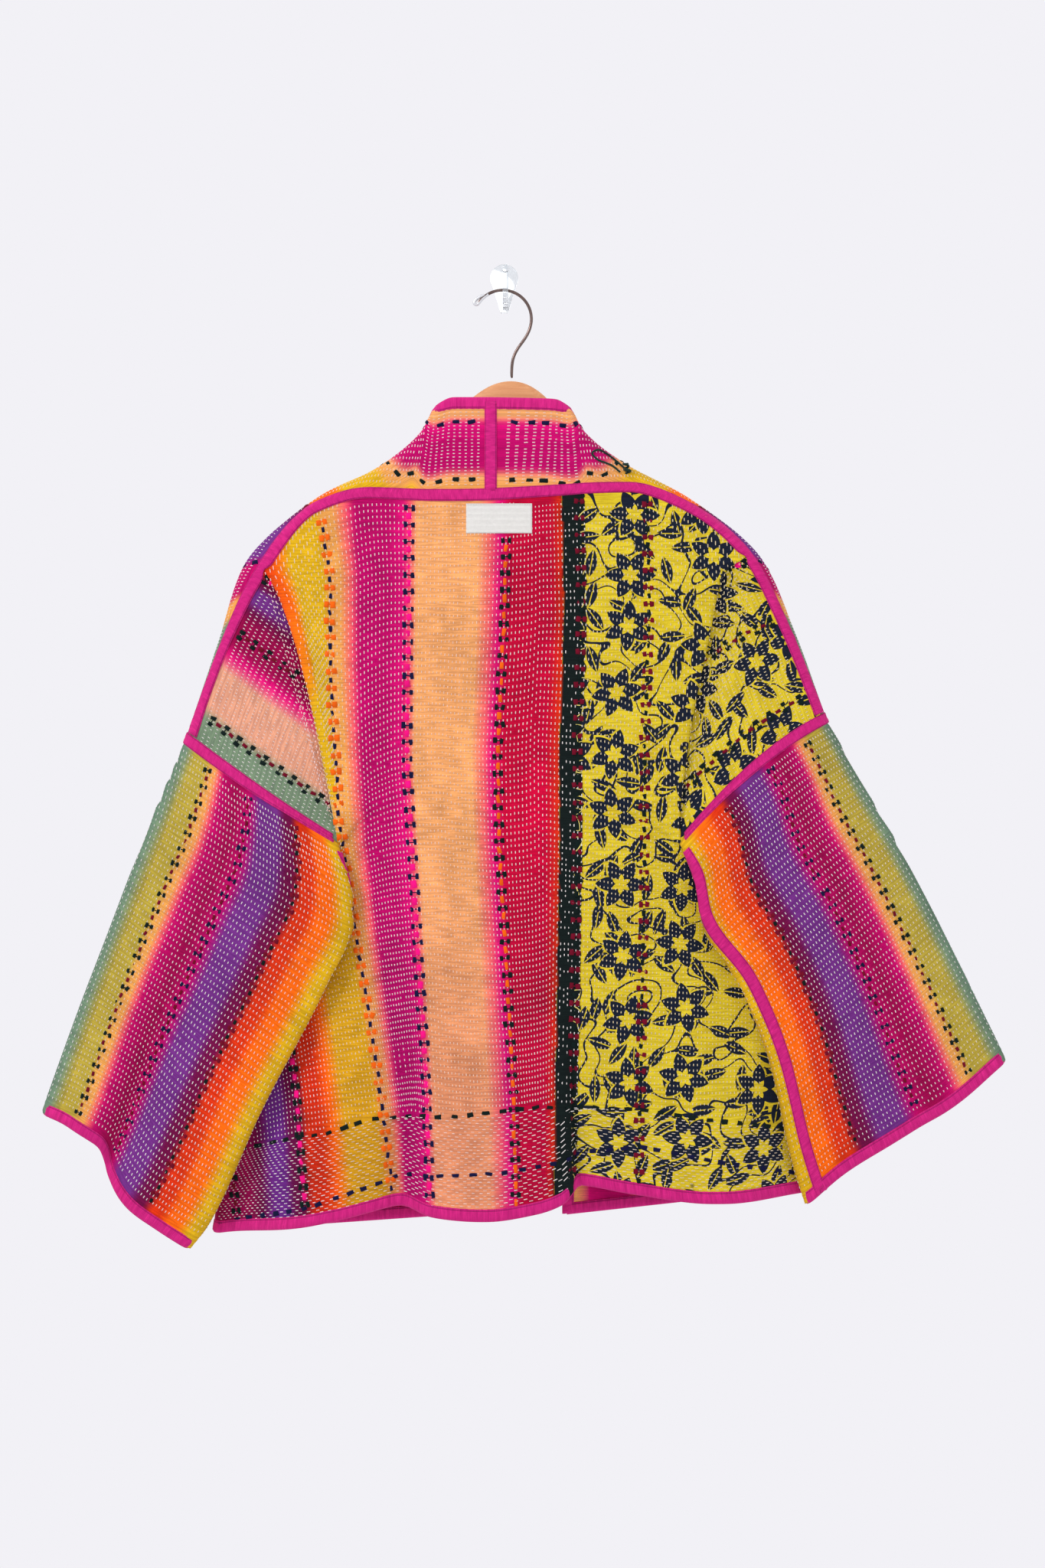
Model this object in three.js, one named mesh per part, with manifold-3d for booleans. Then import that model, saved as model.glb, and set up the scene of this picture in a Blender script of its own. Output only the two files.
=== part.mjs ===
// A kantha quilted jacket hung flat on a wooden hanger, seen from its back, with the small wall hook.
// Millimetres, +Z up, +X to the right of someone who looks at the wall along +Y.
// The origin is the middle of the hook plate's back face, so the wall is the plane y = 0.
import * as THREE from "three";
import Module from "manifold-3d";
import { mergeVertices } from "three/addons/utils/BufferGeometryUtils.js";

const solids = await Module();
solids.setup();

// Driving sizes
const CLOTH = 2.5;            // quilted cloth, several layers of thin cotton
const TAPE = 1.2;             // folded binding tape
const GAP = 0.3;              // clearance between pieces that touch
const SEAM_GAP = 0.8;         // cut edges that meet under a tape
const SEAM_TAPE = 5.2;        // half width of the tape over a seam
const EDGE_TAPE = 10;         // reach of the tape that wraps a free edge
const TUCK = 0.96;            // share of its reach that a tape really covers, so that tapes stay apart
const HANG_Y = -30;           // middle plane of the hanger
const CHEST_Y = -52;          // plane of the back panel at the chest
const HEM_Y = -57;            // plane of the back panel at the hem
const CHEST_Z = -300;         // heights between which the back panel leans out
const HEM_Z = -900;
const TURN_IN = 95;           // width over which the back panel curves away towards its side folds
const SETTLE = 70;            // height over which the back panel leaves the plane of its seam
const UNDERARM = 0.41;        // share of the garment's height at the underarm
const SLIT = 1.5;             // half opening where four pieces meet under the arm
const SEAM_END = 0.03;        // where the shoulder seam meets the armhole, as a share of its width

const FIT_ALLOWED = 1e-4;     // volume in cubic millimetres
const FIT_EXTRA = 0.4;        // thickness added before a piece is trimmed to the cloth
const FIT_DETAIL = 0.05;      // smallest detail kept on a trimmed piece
const TAPE_FIT = { reach: 12, rounds: 6, step: 0.1 };
const THREAD_FIT = { reach: 4, rounds: 20, step: 0.1 };
const WOOD_FIT = { reach: 30, rounds: 60, step: 0.1 };
const TAPE_END = 1.2;         // how far a tape stops short of the next one

const P = (x, y, z) => new THREE.Vector3(x, y, z);
const mix = (a, b, t) => a.clone().lerp(b, t);
const lerp = (a, b, t) => a + (b - a) * t;
const clamp = (t) => Math.min(Math.max(t, 0), 1);
const smooth = (t) => clamp(t) ** 2 * (3 - 2 * clamp(t));
const bell = (t, middle, width) => Math.exp(-(((t - middle) / width) ** 2));

// Rows of numbers with named columns
function table(columns, rows) {
  return rows.map((row) => Object.fromEntries(columns.map((name, i) => [name, row[i]])));
}

// Adds the column "at", the share of the way along rows of x and z
function measured(rows) {
  const at = [0];
  rows.slice(1).forEach((r, i) => at.push(at[i] + Math.hypot(r.x - rows[i].x, r.z - rows[i].z)));
  return rows.map((r, i) => ({ ...r, at: at[i] / at.at(-1) }));
}

// Every column of a table at t, on a smooth curve that never overshoots its rows
function read(rows, t) {
  let i = 0;
  while (i < rows.length - 2 && t > rows[i + 1].at) i++;
  const step = (k) => rows[k + 1].at - rows[k].at;
  const rise = (k, key) => (rows[k + 1][key] - rows[k][key]) / step(k);
  const slope = (k, key) => {
    if (k === 0) return rise(0, key);
    if (k === rows.length - 1) return rise(k - 1, key);
    const [before, after] = [rise(k - 1, key), rise(k, key)];
    return before * after <= 0 ? 0 : (2 * before * after) / (before + after);
  };
  const h = step(i);
  const s = clamp((t - rows[i].at) / h);
  const [s2, s3] = [s * s, s * s * s];
  return Object.fromEntries(Object.keys(rows[0]).map((key) => [key,
    rows[i][key] * (2 * s3 - 3 * s2 + 1) + slope(i, key) * h * (s3 - 2 * s2 + s)
    + rows[i + 1][key] * (3 * s2 - 2 * s3) + slope(i + 1, key) * h * (s3 - s2)]));
}

// Measured shapes of the left half (the wearer's left, at smaller x) and of the right half.
// stations: from the centre back to the armhole, the seam, the shoulder line above it, the plane of the
//   cloth below it, and the radius and angle with which the cloth rolls over the shoulder.
// fold: the soft fold where the body lies over the dropped shoulder, then the side of the body, with the
//   front plane, how far the cloth turns in behind it, the plane it turns to, and how much it overlaps.
const STATION = ["at", "seamX", "seamZ", "ridgeX", "ridgeZ", "plane", "radius", "turn"];
const FOLD = ["at", "x", "y", "z", "inset", "rear", "overlap"];
const XZ = ["x", "z"];
const XYZ = ["x", "y", "z"];
const DEPTH = ["at", "outer", "outerHalf", "belly", "inner", "innerHalf", "twist"];

const LEFT = {
  name: "left",
  sign: -1,
  hangerEnd: 212,
  cuffTape: -1,
  stations: table(STATION, [
    [0.0, -12.2, -216, -12.2, -126, -50, 8, 0],
    [1.0, -50, -216.6, -47, -126, -50, 8, 15],
    [1.5, -72, -216.6, -64, -134, -50, 10, 75],
    [2.0, -90, -216, -77, -155, -50, 16, 180],
    [3.0, -130, -214.5, -120, -189.5, -50, 20, 180],
    [4.0, -178, -228, -172, -215, -50, 20, 180],
    [5.0, -225.6, -284.5, -245, -281, -49, 19, 180],
    [6.0, -260, -349, -270, -356, -44, 14, 180],
    [7.0, -295, -441, -300, -444, -40, 10, 180],
  ]),
  fold: table(FOLD, [
    [0.0, -225.6, -49, -284.5, 0, -49, 0],
    [0.1, -210, -52, -312.5, 8, -42, 1],
    [0.34, -189, -53.5, -375.6, 10, -41, 1],
    [0.66, -170, -53.5, -460, 10, -42, 1],
    [0.9, -159, -53.5, -520, 6, -46, 0.5],
    [1.0, -155.5, -51.5, -543, 0, -51.5, 0],
    [1.014, -160, -48.5, -549, 6, -42, 0],
    [1.12, -172, -46, -590, 12, -30, 0],
    [1.35, -197, -38, -677, 15, -19, 0],
    [1.68, -240, -30, -800, 16, -13, 0],
    [1.9, -272, -22, -880, 16, -9, 0],
    [2.0, -277, -20, -914, 16, -9, 0],
  ]),
  outer: table(XZ, [[-300, -444], [-347, -555], [-377, -633], [-401, -695], [-422, -752], [-438.5, -798]]),
  inner: table(XZ, [
    [-155.5, -543], [-141.5, -594], [-141, -618], [-167, -677], [-228, -793], [-279, -902], [-297, -926],
  ]),
  depth: table(DEPTH, [
    [0.0, -30, 10, 6, -50, 2, 0],
    [0.013, -30, 10, 5, -56, 2.5, 0],
    [0.1, -31, 10, 4, -59, 4, 0.03],
    [0.25, -31, 10, 2, -58, 4, 0.065],
    [0.4, -30, 10, 1, -52, 4, 0.07],
    [0.7, -28, 9, 0, -43, 4.5, 0.07],
    [1.0, -26, 9, 0, -35, 5, 0.07],
  ]),
  armholeBow: -2,
  cuff: table(["at", "reach"], [[0, 0], [0.16, -11], [0.31, -15], [0.46, 2], [0.65, 10], [0.82, 6], [1, 0]]),
  cuffFold: -9,
  opening: table(XYZ, [[-76, -18, -171], [-71, -11, -215], [-64, -9, -330], [-58, -8, -620], [-56, -8, -900]]),
};

const RIGHT = {
  name: "right",
  sign: 1,
  hangerEnd: 222,
  cuffTape: -2,
  stations: table(STATION, [
    [0.0, -12.2, -216, -12.2, -126, -50, 8, 0],
    [1.0, 40, -213, 46, -127.5, -50, 8, 15],
    [1.5, 66, -211.5, 61, -134, -50, 10, 75],
    [2.0, 84, -210.3, 75, -155, -50, 16, 180],
    [3.0, 122, -209.7, 112, -184, -50, 20, 180],
    [4.0, 180, -231, 177, -219.5, -50, 20, 180],
    [5.0, 228.6, -272.7, 243, -275, -49, 19, 180],
    [6.0, 265, -340, 275, -346, -44, 14, 180],
    [7.0, 299, -424, 304, -425, -40, 10, 180],
  ]),
  fold: table(FOLD, [
    [0.0, 228.6, -49, -272.7, 0, -49, 0],
    [0.1, 206, -51, -290, 8, -42, 1],
    [0.33, 192, -53.5, -348, 10, -41, 1],
    [0.7, 171, -53.5, -459, 10, -42, 1],
    [0.92, 165, -53.5, -520, 6, -46, 0.5],
    [1.0, 165, -51.5, -544, 0, -51.5, 0],
    [1.014, 171, -48.5, -549, 6, -42, 0],
    [1.12, 186, -46, -590, 12, -30, 0],
    [1.37, 230, -38, -668, 15, -19, 0],
    [1.68, 272, -30, -770, 16, -13, 0],
    [1.92, 302, -22, -850, 16, -9, 0],
    [2.0, 308, -20, -874, 16, -9, 0],
  ]),
  outer: table(XZ, [[304, -425], [338, -486.5], [370, -541], [402.5, -602], [435, -666.5], [476.5, -747]]),
  inner: table(XZ, [[165, -544], [180, -580], [184, -612], [221, -676], [252, -753], [272, -840], [285, -884]]),
  depth: table(DEPTH, [
    [0.0, -30, 10, 6, -50, 2, 0],
    [0.013, -30, 10, 5, -56, 2.5, -0.005],
    [0.1, -31, 10, 4, -58, 4, -0.02],
    [0.25, -31, 10, 2, -56, 4, -0.035],
    [0.45, -30, 10, 1, -50, 4, -0.065],
    [0.7, -28, 9, 0, -43, 4.5, -0.07],
    [1.0, -26, 9, 0, -36, 5, -0.075],
  ]),
  armholeBow: 13,
  cuff: table(["at", "reach"], [[0, 0], [0.33, 5], [0.57, 0], [0.8, -4], [1, 0]]),
  cuffFold: -4,
  opening: table(XYZ, [[74, -18, -171], [69, -11, -215], [62, -9, -330], [57, -8, -620], [57, -8, -900]]),
};

// Lower edge of the back panel from its left corner to its right one, then the folds that reach it
const HEM = table(["at", "z"], [
  [0, -914], [0.095, -906], [0.193, -895], [0.306, -882], [0.355, -890], [0.45, -894],
  [0.525, -888], [0.576, -876.5], [0.592, -863], [0.68, -870], [0.81, -878.5], [1, -874],
]);
const VALLEY = { at: 0.306, width: 0.035, depth: 13 };
const CREST = { at: 0.4, width: 0.07, depth: -5 };
const PLEAT = { at: 0.584, width: 0.008, depth: 14, recovers: 0.12 };
const FOLDS_START_Z = -660;
const FOLDS_FULL_Z = -880;

// Section of an overlap and of a rolled side, from the front: the step inwards and the share of the depth.
// The step is in millimetres for an overlap, and in radii for a roll.
const TURN_BACK = table(["lapX", "lapY", "rollX", "rollY"], [
  [6, 0, 1, 0],
  [0, 0.16, 0.3, 0.15],
  [6, 0.38, 0, 0.5],
  [14, 0.62, 0.3, 0.85],
  [15, 0.82, 1, 1],
]);

// Grid lines, as shares of each stretch. Each stretch has a line where a tape ends.
const NECK_LINES = [0, 0.13, 0.55, 1, 1.25, 1.5, 1.62, 1.75, 1.87, 2, 2.3, 2.65, 3, 3.5, 4, 4.5];
const NECK_END = 5;
const SHOULDER_END = 7;
const COLLAR_LINE = 1.25;
const OPENING_LINE = 2;
const DROP_LINES = [0, 0.02, 0.16, 0.32, 0.48, 0.64, 0.82, 0.97, 1];
const SIDE_LINES = [0.014, 0.14, 0.28, 0.42, 0.56, 0.7, 0.85, 0.974, 1];
const WING_LINES = [0.16, 0.32, 0.5, 0.68, 0.84, 0.965, 1];
const WALL_LINES = [0.2, 0.4, 0.6, 0.8, 0.965, 1];
const SLEEVE_LINES = [0, 0.013, 0.03, 0.1, 0.2, 0.32, 0.45, 0.6, 0.75, 0.88, 0.975, 1];

// Where the back panel is cut back a little, because four pieces run together there
const CLEARANCES = table(["x", "y", "z", "radius"], [
  [-156, -50.4, -544.3, 3.4],
  [166, -50.7, -543.8, 3.4],
  [228.5, -48, -272.7, 1.9],
]);

const LABEL_BOX = { left: -35.3, right: 26.6, top: -224.6, bottom: -252.7, thick: 0.8 };

// Thread from its knot round the loop and back to a short end
const THREAD_PATH = table(XZ, [
  [113.8, -192.5], [108.6, -188], [103, -183], [95.5, -177.5], [88.3, -174.5],
  [82.7, -178], [88.8, -184], [95, -186.5], [102, -190], [109, -195.5],
]);
const THREAD_RADIUS = 0.9;
const THREAD_STEPS = 30;
const THREAD_SIDES = 8;

// Hanger: top of its middle part, from left to right, and its thickness and height
const WOOD_HUMP = table(XZ, [
  [-70, -150.5], [-62, -142], [-50, -131.5], [-35.4, -124.1], [-22, -113], [-8, -105.5],
  [7.2, -103], [22, -106], [36, -115], [48.7, -126.9], [60, -142], [68, -151],
]);
const WOOD_THICK = 12;
const WOOD_HEIGHT = { middle: 40, end: 24 };
const WOOD_SIDES = 10;
const WOOD_TIP = 0.6;
const REST_GAP = 0.5;         // between the wood and the cloth that rests on it

// Wire hook: its round part, in degrees from +X, then the stem down to the wood
const BEND = { x: -1.2, z: -46.1, radius: 27.3, from: 149, to: -10, steps: 26 };
const STEM = table(XZ, [
  [24.2, -57.2], [20.4, -64.4], [15.6, -70.6], [11.2, -77], [8.4, -84], [7.4, -91], [7.2, -102.5],
]);
const WIRE_RADIUS = 1.55;
const WIRE_SIDES = 10;

const PLATE = { radius: 13.5, lean: 0.5, foot: 7, bottom: -33, thick: 3 };
const ARM = { x: 1.4, width: 5.4, head: 4.2, headY: -36, headZ: 0 };
const ARM_PROFILE = table(["y", "z"], [
  [-1, -13], [-5, -18], [-12, -21.2], [-32.5, -21.2], [-33.8, -17], [-33.8, 1], [-38, 1],
  [-38.2, -20], [-36, -27], [-30, -31], [-10, -31], [-1, -31],
]);

for (const half of [LEFT, RIGHT]) {
  half.outer = measured(half.outer);
  half.inner = measured(half.inner);
  half.opening = measured(half.opening);
}

// Point on the tube of a sleeve. along: 0 at the armhole, 1 at the cuff. c: 0 at the outer fold, 1 at the
// inner edge by way of the viewer's side, and -1 at the inner edge by way of the wall side.
function sleevePoint(half, along, c) {
  const q = Math.abs(c);
  const out = read(half.outer, along);
  const inn = read(half.inner, along);
  const width = Math.hypot(inn.x - out.x, inn.z - out.z);
  const [dirX, dirZ] = [(inn.x - out.x) / width, (inn.z - out.z) / width];
  const reach = half.sign * read(half.cuff, q).reach * smooth((along - 0.45) / 0.55);
  const bow = half.armholeBow * 4 * q * (1 - q) * (1 - smooth(along / 0.5));
  const d = read(half.depth, along);
  const middle = lerp(d.outer, d.inner, smooth(q));
  const depth = lerp(d.outerHalf, d.innerHalf, smooth(q)) + d.belly * 4 * q * (1 - q);
  const wave = half.cuffFold * smooth((along - 0.3) / 0.7) * (bell(q, 0.22, 0.13) - bell(q, 0.43, 0.08));
  const round = (distance, radius) => Math.sqrt(1 - (1 - Math.min(distance / radius, 1)) ** 2);
  const open = depth * round(q * width, d.outerHalf) * round((1 - q) * width, 2 * d.innerHalf);
  const slit = SLIT * clamp(1 - along / SLEEVE_LINES[1]);
  return P(
    lerp(out.x, inn.x, q) - dirZ * reach,
    middle + wave - (c < 0 ? -1 : 1) * Math.max(open, slit),
    lerp(out.z, inn.z, q) + dirX * reach + bow,
  );
}

// The same point counted on the cloth, w from 1 to -1 between its sewn edges
function sleeveCloth(half, along, w) {
  const c = w + read(half.depth, along).twist;
  return sleevePoint(half, along, c > 1 ? c - 2 : c < -1 ? c + 2 : c);
}

// Section over the shoulder at one station: a point at each length of cloth from the seam upwards
function shoulderSection(half, at) {
  const s = read(half.stations, at);
  const drop = Math.hypot(s.seamX - s.ridgeX, s.seamZ - s.ridgeZ);
  const [dirX, dirZ] = [(s.seamX - s.ridgeX) / drop, (s.seamZ - s.ridgeZ) / drop];
  const turn = (s.turn * Math.PI) / 180;
  const lift = s.radius * Math.sin(Math.min(turn, Math.PI / 2));
  const start = drop < lift ? Math.asin(1 - drop / s.radius) : 0;
  const straight = Math.max(drop - lift, 0);
  const length = straight + s.radius * (turn - start);
  const point = (arc) => {
    const angle = arc < straight ? 0 : start + (arc - straight) / s.radius;
    const below = arc < straight ? drop - arc : lift - s.radius * Math.sin(angle);
    return P(s.ridgeX + dirX * below, s.plane + s.radius * (1 - Math.cos(angle)), s.ridgeZ + dirZ * below);
  };
  const arcs = [0, ...[0, 0.35, 0.68, 1].map((t) => lerp(SEAM_TAPE, length - EDGE_TAPE, t)), length];
  const angles = arcs.map((arc) => start + arc / s.radius);
  return { points: arcs.map(point), angles, radius: s.radius };
}

// Where the armhole's line passes, as values of c from the underarm over the shoulder to the underarm
function armholeLines(half) {
  const { angles, radius } = shoulderSection(half, SHOULDER_END);
  const width = Math.hypot(half.inner[0].x - half.outer[0].x, half.inner[0].z - half.outer[0].z);
  const tape = SEAM_TAPE / width;
  const viewer = [0, tape, ...WING_LINES].map((b) => lerp(SEAM_END, 1, b)).reverse();
  const over = angles.slice(1).map((a) => (Math.sign(Math.PI / 2 - a) * radius * (1 - Math.sin(a))) / width);
  const end = Math.abs(over.at(-1));
  const wall = WALL_LINES.map((b) => -lerp(end, 1, b));
  return { viewer, over, wall, all: [...viewer, ...over, ...wall] };
}

// Side of the back panel in one row: points from its front plane round to its rear edge
function turnedEdge(half, at) {
  const e = read(half.fold, at);
  const radius = (e.rear - e.y) / 2;
  const points = TURN_BACK.map((k) => P(
    e.x - half.sign * lerp(k.rollX * radius, k.lapX, e.overlap),
    lerp(e.y, e.rear, lerp(k.rollY, k.lapY, e.overlap)),
    e.z,
  ));
  return [...points, P(e.x - half.sign * e.inset, e.rear, e.z)];
}

// Patch between four boundary curves that share their corners
function coons(top, bottom, left, right, us, vs) {
  return vs.map((v, i) => us.map((u, j) => {
    const sides = mix(left[i], right[i], u);
    const ends = mix(top[j], bottom[j], v);
    const corners = mix(mix(left[0], right[0], u), mix(left.at(-1), right.at(-1), u), v);
    return sides.add(ends).sub(corners);
  }));
}

const shares = (points) => {
  const at = [0];
  points.slice(1).forEach((p, i) => at.push(at[i] + p.distanceTo(points[i])));
  return at.map((a) => a / at.at(-1));
};

function hemFolds(u, z) {
  const show = smooth((z - FOLDS_START_Z) / (FOLDS_FULL_Z - FOLDS_START_Z));
  const behind = smooth((u - PLEAT.at) / PLEAT.width) * Math.exp(-Math.max(u - PLEAT.at, 0) / PLEAT.recovers);
  return show * (VALLEY.depth * bell(u, VALLEY.at, VALLEY.width)
    + CREST.depth * bell(u, CREST.at, CREST.width) + PLEAT.depth * behind);
}

// The back panel: its body, with the turned edges, and a wing on each side out to the armhole
function backPanel() {
  const rows = [...DROP_LINES, ...SIDE_LINES.map((t) => 1 + t)];
  const edges = { left: rows.map((t) => turnedEdge(LEFT, t)), right: rows.map((t) => turnedEdge(RIGHT, t)) };
  const neck = [...NECK_LINES.slice(1).reverse().map((at) => shoulderSection(LEFT, at).points[0]),
    ...NECK_LINES.map((at) => shoulderSection(RIGHT, at).points[0])];
  const left = edges.left.map((points) => points[0]);
  const right = edges.right.map((points) => points[0]);
  const us = neck.map((p) => (p.x - left[0].x) / (right[0].x - left[0].x));
  const vs = rows.map((t) => (t <= 1 ? UNDERARM * t : lerp(UNDERARM, 1, t - 1)));
  const hem = us.map((u) => P(lerp(left.at(-1).x, right.at(-1).x, u), 0, read(HEM, u).z));
  const body = coons(neck, hem, left, right, us, vs);
  body.forEach((row, i) => row.forEach((p, j) => {
    if (i === 0) return;
    const lean = lerp(CHEST_Y, HEM_Y, smooth((p.z - CHEST_Z) / (HEM_Z - CHEST_Z))) + hemFolds(us[j], p.z);
    p.y = lerp(neck[j].y, lean, smooth((neck[j].z - p.z) / SETTLE));
    p.y = lerp(left[i].y, p.y, smooth((p.x - left[i].x) / TURN_IN));
    p.y = lerp(right[i].y, p.y, smooth((right[i].x - p.x) / TURN_IN));
  }));
  const grid = body.map((row, i) => [...edges.left[i].toReversed(), ...row, ...edges.right[i]]);
  return { grid, edges };
}

// The dropped shoulder of the back panel, a fan between the shoulder seam and the body's fold
function wing(half, edges) {
  const seam = DROP_LINES.map((a) => shoulderSection(half, lerp(NECK_END, SHOULDER_END, a)).points[0]);
  const fold = DROP_LINES.map((a, i) => edges[half.name][i].at(-1));
  const loop = armholeLines(half).viewer.toReversed();
  const armhole = loop.map((c) => sleevePoint(half, 0, c));
  seam[seam.length - 1] = armhole[0];
  return DROP_LINES.map((a, i) => {
    const tape = Math.min(0.45, SEAM_TAPE / Math.max(seam[i].distanceTo(fold[i]), SEAM_TAPE));
    return [0, tape, ...WING_LINES].map((b, j) => {
      const straight = mix(armhole[0], armhole.at(-1), lerp(0, 1, (loop[j] - loop[0]) / (1 - loop[0])));
      return mix(seam[i], fold[i], b).addScaledVector(armhole[j].clone().sub(straight), a);
    });
  });
}

// One front with its half of the collar: the part over the shoulder, then the part on the wall side
function front(half, edges) {
  const lines = [...NECK_LINES, ...DROP_LINES.map((a) => lerp(NECK_END, SHOULDER_END, a))];
  const sections = lines.map((at) => shoulderSection(half, at).points);
  const loop = armholeLines(half);
  const ends = [loop.viewer.at(-1), ...loop.over].map((c) => sleevePoint(half, 0, c));
  sections[sections.length - 1] = ends;
  const over = ends.map((p, i) => sections.map((points) => points[i]));
  const first = lines.indexOf(OPENING_LINE);
  const top = over.at(-1).slice(first);
  const armhole = loop.wall.map((c) => sleevePoint(half, 0, c));
  const side = SIDE_LINES.map((t, i) => edges[half.name][DROP_LINES.length + i].at(-1));
  const right = [top.at(-1), ...armhole, ...side];
  const vs = [0, ...WALL_LINES.map((b) => b * UNDERARM), ...SIDE_LINES.map((t) => lerp(UNDERARM, 1, t))];
  const edge = vs.map((v) => read(half.opening, v)).map((p) => P(p.x, p.y, p.z));
  edge[0] = top[0];
  const us = shares(top);
  const hem = us.map((u) => mix(edge.at(-1), side.at(-1), u));
  return { over, wall: coons(top, hem, edge, right, us, vs), first };
}

function sleeve(half) {
  const lines = armholeLines(half).all;
  const apart = 0.9995;
  const notch = 0.007;
  const place = (along, w) => sleeveCloth(half, Math.abs(w) === 1 ? Math.max(along, notch) : along, w * apart);
  return SLEEVE_LINES.map((along) => lines.map((w) => (along > 0 ? place(along, w) : place(0, w / apart))));
}

// Closed solids from grids of points
const spot = (p) => `${Math.round(p.x * 50)},${Math.round(p.y * 50)},${Math.round(p.z * 50)}`;

// Joins grids into one surface: its points, and triangles that turn outwards
function weld(...sheets) {
  const points = [];
  const index = new Map();
  const number = (p) => {
    const key = spot(p);
    if (!index.has(key)) index.set(key, points.push(p) - 1);
    return index.get(key);
  };
  const faces = [];
  for (const { grid, flip } of sheets) {
    const add = (a, b, c) => {
      if (a !== b && b !== c && c !== a) faces.push(flip ? [a, c, b] : [a, b, c]);
    };
    for (let i = 0; i + 1 < grid.length; i++) {
      for (let j = 0; j + 1 < grid[i].length; j++) {
        const [a, b, c, d] = [grid[i][j], grid[i + 1][j], grid[i + 1][j + 1], grid[i][j + 1]].map(number);
        add(a, b, c);
        add(a, c, d);
      }
    }
  }
  return { points, faces };
}

// Adds each surface's face directions to the sum kept for each place, weighted by the corner's angle
function addNormals({ points, faces }, sums) {
  for (const face of faces) {
    const [a, b, c] = face.map((k) => points[k]);
    const across = b.clone().sub(a).cross(c.clone().sub(a)).normalize();
    [[a, b, c], [b, c, a], [c, a, b]].forEach(([p, q, r]) => {
      const key = spot(p);
      if (!sums.has(key)) sums.set(key, P(0, 0, 0));
      sums.get(key).addScaledVector(across, q.clone().sub(p).angleTo(r.clone().sub(p)));
    });
  }
}
const normalsOf = (sums) => new Map([...sums].map(([key, sum]) => [key, sum.clone().normalize()]));

// Surface made into a wall from height "low" to "high" along its normals, its outline drawn in by "trim"
function wall({ points, faces }, normals, low, high, trim) {
  const open = new Map();
  for (const face of faces) {
    face.forEach((a, k) => {
      const b = face[(k + 1) % 3];
      if (!open.delete(`${b},${a}`)) open.set(`${a},${b}`, [a, b]);
    });
  }
  const normal = points.map((p) => normals.get(spot(p)));
  const pulls = points.map(() => []);
  for (const [a, b] of open.values()) {
    const along = points[b].clone().sub(points[a]);
    for (const k of [a, b]) pulls[k].push(normal[k].clone().cross(along).normalize());
  }
  const moved = points.map((p, k) => {
    const [m, n] = pulls[k];
    if (!m) return p;
    const both = m.clone().add(n ?? m).divideScalar(1 + Math.max(m.dot(n ?? m), -0.4));
    return p.clone().addScaledVector(both, trim);
  });
  const vertices = [high, low].flatMap((h) => moved.map((p, k) => p.clone().addScaledVector(normal[k], h)));
  const n = points.length;
  const shell = [...faces, ...faces.map(([a, b, c]) => [a + n, c + n, b + n])];
  for (const [a, b] of open.values()) shell.push([b, a, a + n], [b, a + n, b + n]);
  return geometry(vertices, shell);
}

// Small round clearance in one piece at a point where four seams run together
function relieved(made, centre, radius) {
  const ball = new THREE.IcosahedronGeometry(radius, 1).translate(centre.x, centre.y, centre.z);
  const parts = toSolid(made).subtract(toSolid(ball)).decompose();
  return fromSolid(largest(parts));
}

const largest = (parts) => parts.reduce((a, b) => (a.volume() > b.volume() ? a : b));

function toSolid(made) {
  const bare = new THREE.BufferGeometry();
  bare.setAttribute("position", made.attributes.position);
  if (made.index) bare.setIndex(made.index);
  const joined = mergeVertices(bare, 1e-4);
  const vertProperties = new Float32Array(joined.attributes.position.array);
  const triVerts = new Uint32Array(joined.index.array);
  return new solids.Manifold(new solids.Mesh({ numProp: 3, vertProperties, triVerts }));
}

function fromSolid(solid) {
  const mesh = solid.getMesh();
  const made = new THREE.BufferGeometry();
  made.setAttribute("position", new THREE.BufferAttribute(new Float32Array(mesh.vertProperties), 3));
  made.setIndex([...mesh.triVerts]);
  made.computeVertexNormals();
  return made;
}

function geometry(vertices, faces) {
  const made = new THREE.BufferGeometry();
  const flat = vertices.flatMap((p) => [p.x, p.y, p.z]);
  made.setAttribute("position", new THREE.BufferAttribute(new Float32Array(flat), 3));
  made.setIndex(faces.flat());
  made.computeVertexNormals();
  return made;
}

// Tape laid over a seam: its middle and its two edges are points of the cloth, moved out
function seamTape(stations, normals, lifts, extra) {
  const facing = (p) => normals.get(spot(p));
  const layer = (height) => stations.map((s, i) => {
    const { middle, oneSide, otherSide } = s;
    const h = height === 0 ? 0 : height + extra[i];
    const reach = (q) => mix(middle, q, Math.min(TUCK, (TUCK * SEAM_TAPE) / middle.distanceTo(q)));
    const low = CLOTH / 2 + GAP + lifts[i] + h;
    return [
      reach(oneSide).addScaledVector(facing(oneSide), low),
      middle.clone().addScaledVector(s.facing ?? facing(middle), low),
      reach(otherSide).addScaledVector(facing(otherSide), low),
    ];
  });
  return between(layer(0), layer(TAPE));
}

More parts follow.
